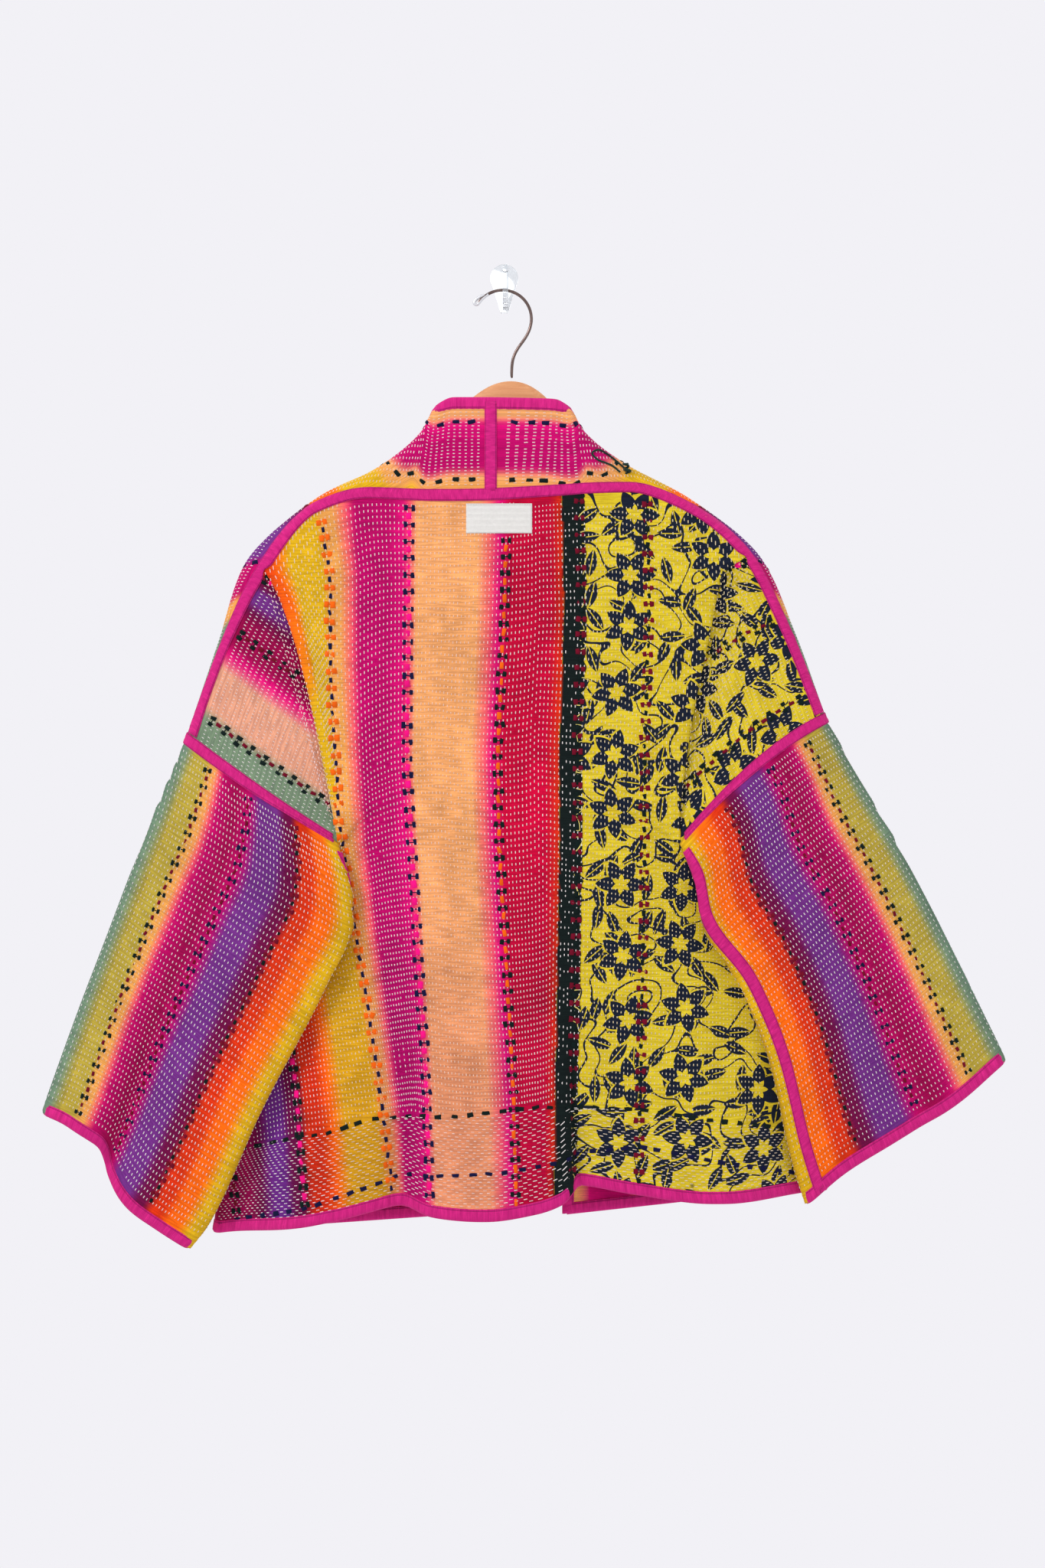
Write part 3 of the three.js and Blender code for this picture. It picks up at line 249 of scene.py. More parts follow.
def shoulder(half, at, v):
    """Points over the shoulder, v from the seam to the end. Also each section's angles, radii and lengths."""
    s = curve(half["stations"], np.asarray(at, float))[None]
    v = np.asarray(v, float)[:, None]
    seam, ridge = s[..., [0, 1]], s[..., [2, 3]]
    plane, radius, turn = s[..., 4], s[..., 5], np.radians(s[..., 6])
    drop = np.linalg.norm(seam - ridge, axis=-1)
    way = (seam - ridge) / drop[..., None]
    lift = radius * np.sin(np.minimum(turn, math.pi / 2))
    start = np.where(drop < lift, np.arcsin(np.clip(1 - drop / radius, 0, 1)), 0)
    straight = np.maximum(drop - lift, 0)
    length = straight + radius * (turn - start)
    arc = v * length
    angle = np.where(arc < straight, 0, start + (arc - straight) / radius)
    below = np.where(arc < straight, drop - arc, lift - radius * np.sin(angle))
    points = np.stack([
        ridge[..., 0] + way[..., 0] * below,
        plane + radius * (1 - np.cos(angle)),
        ridge[..., 1] + way[..., 1] * below,
    ], -1)
    return points, start + arc / radius, radius, length


def armhole_over(half, v):
    """Places of the armhole's line on the sleeve, where it passes over the shoulder."""
    _, angle, radius, _ = shoulder(half, [SHOULDER_END], v)
    width = np.linalg.norm(half["inner"][0][1:] - half["outer"][0][1:])
    c = (np.sign(math.pi / 2 - angle) * radius * (1 - np.sin(angle)) / width)[:, 0]
    return c + (SEAM_END - c[0]) * (1 - np.asarray(v)) ** 4


def cubic(p, f):
    """A smooth curve between the second and third of four points."""
    return 0.5 * (2 * p[1] + (p[2] - p[0]) * f + (2 * p[0] - 5 * p[1] + 4 * p[2] - p[3]) * f ** 2
                  + (3 * p[1] - p[0] - 3 * p[2] + p[3]) * f ** 3)


def turned_edge(half, t, count):
    """Side of the back panel in each row, from its front plane round to its rear edge."""
    e = curve(half["fold"], t)
    x, y, z, inset, rear, overlap = (e[..., k][:, None] for k in range(6))
    radius = (rear - y) / 2
    lap_x, lap_y, roll_x, roll_y = TURN_BACK.T
    px = x - half["sign"] * lerp(roll_x * radius, lap_x, overlap)
    py = lerp(y, rear, lerp(roll_y, lap_y, overlap))
    px = np.concatenate([px, x - half["sign"] * inset], 1)
    py = np.concatenate([py, rear], 1)
    points = np.stack([px, py, np.broadcast_to(z, px.shape)], -1)
    knots = np.arange(points.shape[1])
    fine = np.linspace(0, knots[-1], count)
    i = np.clip(fine.astype(int), 0, knots[-1] - 1)
    f = (fine - i)[None, :, None]
    p = [points[:, np.clip(i + k, 0, knots[-1])] for k in (-1, 0, 1, 2)]
    return cubic(p, f)


def coons(top, bottom, left, right, us, vs):
    u, v = us[None, :, None], vs[:, None, None]
    sides = lerp(left[:, None], right[:, None], u)
    ends = lerp(top[None], bottom[None], v)
    corners = lerp(lerp(left[0], right[0], u), lerp(left[-1], right[-1], u), v)
    return sides + ends - corners


def hem_folds(u, z):
    show = smooth((z - FOLDS_START) / (FOLDS_FULL - FOLDS_START))
    at, width, depth, recovers = PLEAT
    behind = smooth((u - at) / width) * np.exp(-np.maximum(u - at, 0) / recovers)
    return show * (VALLEY[2] * bell(u, *VALLEY[:2]) + CREST[2] * bell(u, *CREST[:2]) + depth * behind)


def split_rows(v):
    """Place along the fold table for a share of the garment's height."""
    return np.where(v <= UNDERARM, v / UNDERARM, 1 + (v - UNDERARM) / (1 - UNDERARM))


def seam_line(half, at):
    s = curve(half["stations"], at)
    return np.stack([s[..., 0], s[..., 4], s[..., 1]], -1)


EDGE_COUNT = 12
ROWS = np.linspace(0, 1, 2 * 120 + 1)
FOLD_PLACE = split_rows(ROWS)


def even_stations(half, start, end, count):
    """Stations at even steps along the seam."""
    fine = np.linspace(start, end, 600)
    line = seam_line(half, fine)
    along = np.concatenate([[0], np.cumsum(np.linalg.norm(np.diff(line, axis=0), axis=1))])
    return np.interp(np.linspace(0, along[-1], count + 1), along, fine)


COLLAR_STEPS, SHOULDER_STEPS, DROP_STEPS = 26, 50, 54
NECK_STEPS = COLLAR_STEPS + SHOULDER_STEPS
WING_DOWN = 57
for half in (LEFT, RIGHT):
    half["at"] = np.concatenate([
        even_stations(half, 0, OPENING, COLLAR_STEPS),
        even_stations(half, OPENING, SHOULDER_START, SHOULDER_STEPS)[1:],
        even_stations(half, SHOULDER_START, SHOULDER_END, DROP_STEPS)[1:],
    ])


def back_body():
    edges = {h["name"]: turned_edge(h, FOLD_PLACE, EDGE_COUNT) for h in (LEFT, RIGHT)}
    neck_left, neck_right = (seam_line(h, h["at"][:NECK_STEPS + 1]) for h in (LEFT, RIGHT))
    neck = np.concatenate([neck_left[:0:-1], neck_right])
    left, right = edges["left"][:, 0], edges["right"][:, 0]
    us = (neck[:, 0] - left[0, 0]) / (right[0, 0] - left[0, 0])
    hem = np.stack([lerp(left[-1, 0], right[-1, 0], us), 0 * us, curve(HEM, us)[:, 0]], -1)
    body = coons(neck, hem, left, right, us, ROWS)
    x, z = body[1:, :, 0], body[1:, :, 2]
    lean = lerp(CHEST_Y, HEM_Y, smooth((z - CHEST_Z) / (HEM_Z - CHEST_Z))) + hem_folds(us[None], z)
    y = lerp(neck[None, :, 1], lean, smooth((neck[None, :, 2] - z) / SETTLE))
    y = lerp(left[1:, None, 1], y, smooth((x - left[1:, None, 0]) / TURN_IN))
    body[1:, :, 1] = lerp(right[1:, None, 1], y, smooth((right[1:, None, 0] - x) / TURN_IN))
    return np.concatenate([edges["left"][:, :0:-1], body, edges["right"][:, 1:]], 1)


def wing_places(half):
    return (half["at"][NECK_STEPS:] - SHOULDER_START) / (SHOULDER_END - SHOULDER_START)


def wing(half):
    a = wing_places(half)
    b = np.linspace(0, 1, WING_DOWN)
    seam = seam_line(half, half["at"][NECK_STEPS:])
    fold = turned_edge(half, a, EDGE_COUNT)[:, -1]
    armhole = sleeve_point(half, 0, lerp(SEAM_END, 1, b))
    seam = seam + (armhole[0] - seam[-1]) * smooth((a[:, None] - 0.8) / 0.2)
    straight = lerp(armhole[0], armhole[-1], b[:, None])
    flat = lerp(seam[:, None], fold[:, None], b[None, :, None])
    return flat + (armhole - straight)[None] * a[:, None, None]


OVER_ROWS = 29


def front(half):
    at = half["at"]
    v = np.linspace(0, 1, OVER_ROWS)
    over, _, _, length = shoulder(half, at, v)
    ends = sleeve_point(half, 0, armhole_over(half, v))
    over = over + (ends - over[:, -1])[:, None] * smooth((at - 6.6) / 0.4)[None, :, None]
    top = over[-1, COLLAR_STEPS:]
    end = abs(armhole_over(half, v)[-1])
    t = FOLD_PLACE
    armhole = sleeve_point(half, 0, -lerp(end, 1, t[t <= 1]))
    side = turned_edge(half, t[t > 1], EDGE_COUNT)[:, -1]
    right = np.concatenate([armhole, side])
    edge = curve(half["opening"], ROWS)
    edge = edge + (top[0] - edge[0]) * (1 - smooth(ROWS / 0.05))[:, None]
    run = np.concatenate([[0], np.cumsum(np.linalg.norm(np.diff(top, axis=0), axis=1))])
    us = run / run[-1]
    hem = lerp(edge[-1], side[-1], us[:, None])
    wall = coons(top, hem, edge, right, us, ROWS)
    return over, wall, length[0], run


SLEEVE_ROWS, SLEEVE_COLUMNS = 2 * 66 + 1, 113
NEAR_SEAM = 0.9995   # the sleeve's cloth ends just short of its underarm seam


def sleeve(half):
    along = np.linspace(0, 1, SLEEVE_ROWS)[:, None]
    w = np.linspace(1, -1, SLEEVE_COLUMNS)[None] * NEAR_SEAM
    return sleeve_cloth(half, along, w), w


# Grids to meshes


def steps(grid, axis):
    """Length along the grid from its first row or column."""
    d = np.linalg.norm(np.diff(grid, axis=axis), axis=-1)
    return np.concatenate([np.zeros_like(d[:1] if axis == 0 else d[:, :1]), np.cumsum(d, axis=axis)], axis)


def grid_normals(grid, flip):
    n = np.cross(np.gradient(grid, axis=0), np.gradient(grid, axis=1))
    return unit(-n if flip else n)


def grid_faces(rows, columns, first, flip):
    i, j = np.meshgrid(np.arange(rows - 1), np.arange(columns - 1), indexing="ij")
    a = (first + i * columns + j).ravel()
    quads = np.stack([a, a + columns, a + columns + 1, a + 1], 1)
    return quads[:, ::-1] if flip else quads


def outline(rows, columns):
    ids = np.arange(rows * columns).reshape(rows, columns)
    return np.concatenate([ids[0, :-1], ids[:-1, -1], ids[-1, :0:-1], ids[:0:-1, 0]])


def mesh_object(name, vertices, faces, material, colours=None, weave=None):
    mesh = bpy.data.meshes.new(name)
    mesh.vertices.add(len(vertices))
    mesh.vertices.foreach_set("co", (np.asarray(vertices, float) * MM).astype(np.float32).ravel())
    faces = [np.asarray(f) for f in (faces if isinstance(faces, list) else [faces])]
    sizes = np.concatenate([np.full(len(f), f.shape[1]) for f in faces])
    corners = np.concatenate([f.ravel() for f in faces])
    mesh.loops.add(len(corners))
    mesh.loops.foreach_set("vertex_index", corners.astype(np.int32))
    mesh.polygons.add(len(sizes))
    mesh.polygons.foreach_set("loop_start", np.concatenate([[0], np.cumsum(sizes)[:-1]]).astype(np.int32))
    mesh.polygons.foreach_set("loop_total", sizes.astype(np.int32))
    mesh.polygons.foreach_set("use_smooth", np.ones(len(sizes), bool))
    if colours is not None:
        layer = mesh.color_attributes.new("tint", "FLOAT_COLOR", "POINT")
        rgba = np.concatenate([colours, np.ones((len(colours), 1))], 1)
        layer.data.foreach_set("color", rgba.astype(np.float32).ravel())
    if weave is not None:
        layer = mesh.attributes.new("weave", "FLOAT_VECTOR", "POINT")
        layer.data.foreach_set("vector", weave.astype(np.float32).ravel())
    mesh.update(calc_edges=True)
    obj = bpy.data.objects.new(name, mesh)
    bpy.context.scene.collection.objects.link(obj)
    if material:
        mesh.materials.append(material)
    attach(obj, "root")
    return obj


def shell(name, sheets, material):
    """Closed pieces of cloth from grids. The inner layer has half as many rows and columns."""
    vertices, faces, colours, weaves = [], [], [], []
    count = 0
    for s in sheets:
        grid, normal, flip = s["grid"], s["normal"], s["flip"]
        rows, columns = grid.shape[:2]
        s["face"] = grid + normal * (HALF + s["relief"])[..., None]
        inner = (grid - normal * HALF)[::2, ::2]
        few_rows, few_columns = inner.shape[:2]
        start = count + rows * columns
        faces.append(grid_faces(rows, columns, count, flip))
        faces.append(grid_faces(few_rows, few_columns, start, not flip))
        fine = count + outline(rows, columns)
        coarse = start + outline(few_rows, few_columns)
        f0, f1, f2 = fine[::2], fine[1::2], np.roll(fine, -2)[::2]
        c0, c1 = coarse, np.roll(coarse, -1)
        rim = np.concatenate([np.stack(corners, 1) for corners in ([f0, f1, c0], [f1, c1, c0], [f1, f2, c1])])
        faces.append(rim[:, ::-1] if flip else rim)
        vertices += [s["face"].reshape(-1, 3), inner.reshape(-1, 3)]
        for store, key in ((colours, "colour"), (weaves, "weave")):
            store += [s[key].reshape(-1, 3), s[key][::2, ::2].reshape(-1, 3)]
        count = start + few_rows * few_columns
    return mesh_object(name, np.concatenate(vertices), faces, material, np.concatenate(colours),
                       np.concatenate(weaves))


# Stitches: small ridged bars, one for each place where the thread comes up


def at_places(line, position):
    low = np.clip(np.floor(position).astype(int), 0, len(line) - 2)
    return lerp(line[low], line[low + 1], (position - low)[:, None])


class Bars:
    """Many short bars of thread in one mesh."""

    def __init__(self):
        self.vertices, self.faces, self.colours, self.count = [], [], [], 0

    def add(self, first, last, normal, width, height, colour, sink=0.1):
        along = unit(last - first)
        side = np.cross(along, normal) * (width / 2)
        up = normal * height
        down = -normal * sink
        inset = along * np.minimum(width * 0.45, 0.9)
        corners = [first + down, first + inset + side + down, first + inset + up, first + inset - side + down,
                   last - inset + side + down, last - inset + up, last - inset - side + down, last + down]
        n = len(first)
        block = np.stack(corners, 1).reshape(-1, 3)
        base = self.count + 8 * np.arange(n)[:, None]
        quads = np.array([[1, 4, 5, 2], [2, 5, 6, 3]])
        tips = np.array([[0, 1, 2], [0, 2, 3], [7, 5, 4], [7, 6, 5]])
        self.faces.append((base[:, :, None] + quads[None]).reshape(-1, 4))
        self.faces.append((base[:, :, None] + tips[None]).reshape(-1, 3))
        self.vertices.append(block)
        colour = np.broadcast_to(colour, (n, 3)) * rng.uniform(0.88, 1.04, (n, 1))
        self.colours.append(np.repeat(colour, 8, 0))
        self.count += 8 * n

    def make(self, name, material):
        return mesh_object(name, np.concatenate(self.vertices), self.faces, material,
                           np.concatenate(self.colours))


LIGHTNESS = np.array([0.21, 0.72, 0.07])
THREAD_SHOWS, PALE_HIDES = 0.84, 0.95
STITCH_WIDE, STITCH_HIGH = 0.88, 0.5
HALF_STITCH = (0.19, 0.25)           # as a share of the pitch
MISSING, MISSING_ON_DARK = 0.02, 0.45
STITCH_DRIFT = 0.03
CLOSE_LINES = 0.66                   # lines nearer than this share of a column are one line


def thread_tone(ground):
    """White thread takes some dye from the cloth, most on pale cloth."""
    light = ground @ LIGHTNESS
    return lerp(ground, THREAD_WHITE, (THREAD_SHOWS - PALE_HIDES * light)[:, None])


def thinned(lines, phase):
    """The phase, without the stretches of lines that come too near the line before them."""
    phase = phase.copy()
    kept = np.full(lines.shape[1:], np.nan)
    for line, place in zip(lines, phase):
        away = np.linalg.norm(line - kept, axis=-1)
        keep = np.isnan(away) | (away > CLOSE_LINES * COLUMN)
        place[~keep] = np.nan
        kept = np.where((keep & np.isfinite(line[:, 0]))[:, None], line, kept)
    return phase


def running(bars, lines, normals, phase, grounds):
    """Running stitches along each line, one where the phase passes a whole number."""
    for line, normal, place, ground in zip(lines, normals, phase, grounds):
        good = np.isfinite(place) & np.isfinite(line[:, 0])
        if good.sum() < 4:
            continue
        ground = np.broadcast_to(ground, line.shape)[good]
        line, normal, place = line[good], normal[good], place[good]
        whole = np.arange(math.ceil(place.min() + 0.3), math.floor(place.max() - 0.3) + 1)
        if len(whole) == 0:
            continue
        dark = np.interp(whole, place, ground.max(-1)) < DARK_GROUND
        whole = whole[rng.random(len(whole)) > np.where(dark, MISSING_ON_DARK, MISSING)]
        middle = whole + rng.normal(0, STITCH_DRIFT, len(whole))
        long = rng.uniform(*HALF_STITCH, len(whole))
        index = np.arange(len(place))
        a, b, m = (np.interp(p, place, index) for p in (middle - long, middle + long, middle))
        bars.add(at_places(line, a), at_places(line, b), unit(at_places(normal, m)), STITCH_WIDE, STITCH_HIGH,
                 thread_tone(at_places(ground, m)))


# Colours


def linear(rgb):
    """Linear light of screen colours from 0 to 255."""
    c = np.clip(np.asarray(rgb, float), 0, 255) / 255
    return np.where(c <= 0.04045, c / 12.92, ((c + 0.055) / 1.055) ** 2.4)


def srgb(*rgb):
    return linear(rgb)


THREAD_WHITE = srgb(252, 244, 240)
DARK_GROUND = 0.02   # cloth darker than this carries fewer stitches
INK = {
    "grey_green": (112, 132, 108), "tan": (220, 150, 76), "magenta": (178, 0, 94), "bright": (212, 8, 112),
    "purple": (106, 42, 124), "plum": (104, 6, 62), "red_orange": (204, 46, 12), "orange": (238, 98, 10),
    "yellow": (208, 162, 22), "peach": (228, 156, 98), "pink": (230, 88, 98), "crimson": (184, 0, 50),
    "teal": (88, 116, 98), "olive": (172, 150, 56), "navy": (14, 16, 58), "green": (8, 26, 24),
    "hot_pink": (246, 14, 130), "dark_red": (112, 4, 34), "strip": (8, 16, 14), "flower": (200, 172, 28),
    "blush": (214, 148, 122), "wine": (142, 0, 66),
}


def bands(table, at):
    """Dyed stripes that run softly into each other: colour at each place of a table of place and ink."""
    order = sorted(table)
    places = np.array([p for p, _ in order], float)
    inks = np.array([INK[name] for _, name in order], float)
    flat = [np.interp(at, places, inks[:, k]) for k in range(3)]
    return linear(np.stack(flat, -1))


def mottled(colour, strength=0.1):
    """Uneven dye: smooth patches of lighter and darker cloth."""
    rows, columns = colour.shape[:2]
    shade = np.ones((rows, columns))
    for cells, amount in ((9, 0.5), (26, 0.35), (70, 0.3)):
        coarse = rng.normal(0, 1, (cells + 2, cells + 2))
        r = np.linspace(0, cells, rows)
        c = np.linspace(0, cells, columns)
        i, j = np.clip(r.astype(int), 0, cells - 1), np.clip(c.astype(int), 0, cells - 1)
        fr, fc = smooth(r - i)[:, None], smooth(c - j)[None]
        a, b = coarse[i][:, j], coarse[i][:, j + 1]
        d, e = coarse[i + 1][:, j], coarse[i + 1][:, j + 1]
        shade += strength * amount * lerp(lerp(a, b, fc), lerp(d, e, fc), fr)
    return np.clip(colour * shade[..., None], 0, 1)


# Stripes of the back, by distance from its middle, more to the left
BACK_STRIPES = [
    (430, "grey_green"), (392, "grey_green"), (383, "blush"), (346, "blush"), (330, "bright"),
    (318, "wine"), (290, "wine"), (276, "plum"), (264, "purple"), (250, "purple"), (242, "plum"),
    (234, "plum"), (224, "red_orange"), (212, "red_orange"), (200, "orange"), (187, "yellow"),
    (157, "yellow"), (150, "tan"), (140, "tan"), (130, "pink"), (122, "magenta"), (96, "magenta"),
    (82, "bright"), (75, "pink"), (70, "peach"), (14, "peach"), (2, "pink"), (-6, "bright"),
    (-17, "crimson"), (-54, "crimson"), (-66, "red_orange"), (-67, "strip"), (-86, "strip"),
    (-90, "flower"), (-900, "flower"),
]
# Stripes of a sleeve, by share of its width from its outer fold to its underarm seam
SLEEVE_STRIPES = [
    (0, "teal"), (0.04, "grey_green"), (0.08, "olive"), (0.16, "olive"), (0.19, "tan"), (0.215, "tan"),
    (0.24, "pink"), (0.27, "magenta"), (0.36, "wine"), (0.44, "magenta"), (0.5, "purple"), (0.61, "purple"),
    (0.66, "plum"), (0.7, "plum"), (0.74, "red_orange"), (0.79, "red_orange"), (0.84, "orange"),
    (0.89, "orange"), (0.95, "yellow"), (1, "yellow"),
]
# Stripes of a front, by distance from its free edge
FRONT_STRIPES = [
    (0, "peach"), (17, "peach"), (24, "bright"), (40, "magenta"), (64, "magenta"), (74, "peach"), (84, "tan"),
    (92, "yellow"), (122, "yellow"), (130, "orange"), (150, "orange"), (158, "plum"), (172, "purple"),
    (198, "purple"), (208, "magenta"), (232, "magenta"), (240, "tan"), (254, "tan"), (262, "grey_green"),
    (400, "grey_green"),
]

# Height and x of four lines along the stripes of the back, whose stripe places are LINE_PLACES
LEFT_LINE = [(-900, -102), (-782, -113.8), (-700, -126), (-620, -140), (-542, -151.9), (-418, -160.6),
             (-362, -162.7), (-290, -162.9), (-239, -170.9), (-200, -175)]
INNER_LINE = [(-900, -68), (-780, -72), (-467, -90.7), (-338, -89.3), (-225, -88.6), (-200, -88.6)]
MIDDLE_LINE = [(-900, 12), (-780, 9.4), (-541, -4.3), (-458, -5.8), (-343, 0), (-258, 2.2), (-200, 2.2)]
CUT_LINE = [(-900, 46), (-780, 47.5), (-541, 51.8), (-444, 51.8), (-329, 56.2), (-223, 54), (-200, 54)]
LINE_PLACES = [150, 77, -11.5, -66]
CUT_PLACE = LINE_PLACES[-1]          # where the striped cloth meets the printed one
FOLD_STRIPE = 214                    # stripe place along the fold at the back's left side
FOLD_ROWS = np.array(LEFT["fold"])[:6]
FOLD_XS, FOLD_HEIGHTS = FOLD_ROWS[:, 1], FOLD_ROWS[:, 3]
STRIPES_EASE_Z, EASE_LENGTH = -640, 100   # below this the outer stripes are no longer squeezed to the fold
WING_START, WING_SPAN = 219, 196     # stripe places of a folded side, from its shoulder out to its armhole


def back_stripe(points):
    """Distance across the stripes of the back at each point."""
    x, z = points[..., 0], points[..., 2]
    lines = [np.interp(z, *np.array(line).T) for line in (LEFT_LINE, INNER_LINE, MIDDLE_LINE, CUT_LINE)]
    fold = np.interp(z, FOLD_HEIGHTS[::-1], FOLD_XS[::-1])
    steep = (FOLD_STRIPE - LINE_PLACES[0]) / (lines[0] - fold)
    s = LINE_PLACES[0] + (lines[0] - x) * lerp(1.02, steep, smooth((z - STRIPES_EASE_Z) / EASE_LENGTH))
    for k in range(3):
        share = (x - lines[k]) / (lines[k + 1] - lines[k])
        s = np.where(share > 0, lerp(LINE_PLACES[k], LINE_PLACES[k + 1], share), s)
    return np.where(x > lines[3], LINE_PLACES[3] - (x - lines[3]), s)


# Cloth pieces


def ridges(phase, weight=1.0):
    """Cloth puffed up between the rows of stitches, which fall on whole numbers."""
    return RELIEF * weight * (0.5 - 0.5 * np.cos(2 * math.pi * phase))


def weave_of(s, t, floral=0.0):
    s, t, floral = np.broadcast_arrays(s, t, floral)
    return np.stack([s, t, floral], -1)


back_grid = back_body()
back_rows = np.arange(len(ROWS))[:, None] / 2 + 0 * back_grid[..., 0]
back_s = back_stripe(back_grid)
back_s[:, :EDGE_COUNT] = back_s[:, EDGE_COUNT:EDGE_COUNT + 1] + np.linspace(14, 0, EDGE_COUNT)
# Painted shade: the back's colour is made darker and a little pinker towards the hem
HEM_SHADE_TOP, HEM_SHADE_LENGTH, HEM_SHADE = -480, 360, (0.84, 0.7, 0.98)
# Top of the band along the hem, whose stitches run across
BORDER_LINE = [(-277, -838), (-239, -832), (-201.6, -821.5), (-162.7, -813), (-124.6, -800), (-52.6, -798),
               (33.1, -789), (129.6, -792), (221.8, -806), (300, -820)]
border = back_grid[..., 2] < np.interp(back_grid[..., 0], *np.array(BORDER_LINE).T)
across = np.arange(back_grid.shape[1])[None] / 2 + 0 * back_rows
back_relief = np.where(border, ridges(across, 0.8), ridges(back_rows))
back_relief[-3:] = 0
back_relief[:2] = 0
hem_shade_share = smooth((HEM_SHADE_TOP - back_grid[..., 2]) / HEM_SHADE_LENGTH)[..., None]
# the stripes' colour times the painted shade that darkens it towards the hem
back_colour = bands(BACK_STRIPES, back_s) * lerp(1, np.array(HEM_SHADE), hem_shade_share)
back_body_sheet = {
    "grid": back_grid, "normal": grid_normals(back_grid, False), "flip": False, "relief": back_relief,
    "colour": mottled(back_colour, 0.16),
    "weave": weave_of(back_s, back_grid[..., 2], (back_s < CUT_PLACE).astype(float)),
}
MIDDLE_COLUMN = EDGE_COUNT - 1 + NECK_STEPS

wings, wing_sheets = {}, []
for half in (LEFT, RIGHT):
    grid = wing(half)
    down = steps(grid, 1)
    a = wing_places(half)[:, None] + 0 * down
    s = WING_START + WING_SPAN * a
    flip = half is RIGHT
    colour = bands(BACK_STRIPES, s if half is LEFT else -s)
    wings[half["name"]] = {
        "grid": grid, "normal": grid_normals(grid, flip), "flip": flip,
        "relief": ridges(down / PITCH) * smooth(down / 4) * smooth((1 - a) * 30),
        "colour": mottled(colour), "phase": down / PITCH,
        "weave": weave_of(s if half is LEFT else -s, -down, 0.0 if half is LEFT else 1.0),
    }
    wing_sheets.append(wings[half["name"]])

fronts = {}
for half in (LEFT, RIGHT):
    over, rear, length, run = front(half)
    v = np.linspace(0, 1, OVER_ROWS)[:, None]
    at = half["at"][None] + 0 * v
    collar = (1 - v) * length[None]
    past = np.concatenate([np.zeros(COLLAR_STEPS), run])[None]
    e_over = np.where(at < OPENING, collar, past + (1 - v) * length[COLLAR_STEPS] / (1 + past / 55))
    neck_share = 1 - smooth((at - 1.75) / 0.5)
    columns = np.arange(over.shape[1])[None] / 2 + 0 * v
    rows = v * length[None] / PITCH
    relief = lerp(ridges(rows), ridges(columns), neck_share) * smooth(v * 12) * smooth((1 - v) * 12)
    flip = half is RIGHT
    e_rear = steps(rear, 1)
    row_phase = np.arange(len(ROWS))[:, None] / 2 + 0 * e_rear
    fronts[half["name"]] = {
        "over": {"grid": over, "normal": grid_normals(over, flip), "flip": flip, "relief": relief,
                 "colour": mottled(bands(FRONT_STRIPES, e_over)), "weave": weave_of(e_over, -collar)},
        "rear": {"grid": rear, "normal": grid_normals(rear, flip), "flip": flip, "relief": ridges(row_phase),
                 "colour": mottled(bands(FRONT_STRIPES, e_rear)), "weave": weave_of(e_rear, rear[..., 2])},
        "e_over": e_over, "e_rear": e_rear, "rows": rows, "columns": columns, "row_phase": row_phase,
        "length": length,
    }

sleeves = {}
for half in (LEFT, RIGHT):
    grid, w = sleeve(half)
    along = np.linspace(0, 1, SLEEVE_ROWS)[:, None]
    c = w + curve(half["depth"], along[:, 0])[..., 5][:, None]
    q = np.abs(np.where(c > 1, c - 2, np.where(c < -1, c + 2, c)))
    flip = half is LEFT
    phase = np.arange(SLEEVE_ROWS)[:, None] / 2 + 0 * q
    sleeves[half["name"]] = {
        "grid": grid, "normal": grid_normals(grid, flip), "flip": flip, "phase": phase, "q": q,
        "relief": ridges(phase) * smooth(along * 60) * smooth((1 - along) * 60),
        "colour": mottled(bands(SLEEVE_STRIPES, q)),
        "weave": weave_of(q * 180 * np.sign(w), -along * 380 + 0 * q),
    }


# Materials

CLOTH_SLOTS, CLOTH_GLOSS = ("quilted_cotton", "thread", "binding_tape"), 0.12


def material(name, roughness, slot, sheen=0.0):
    made = bpy.data.materials.new(name)
    made.use_nodes = True
    shader = made.node_tree.nodes["Principled BSDF"]
    shader.inputs["Roughness"].default_value = roughness
    if sheen:
        shader.inputs["Sheen Weight"].default_value = sheen
        shader.inputs["Sheen Roughness"].default_value = 0.5
    if slot in CLOTH_SLOTS:
        shader.inputs["Specular IOR Level"].default_value = CLOTH_GLOSS
    made["slot"] = slot
    return made, Nodes(made.node_tree), shader


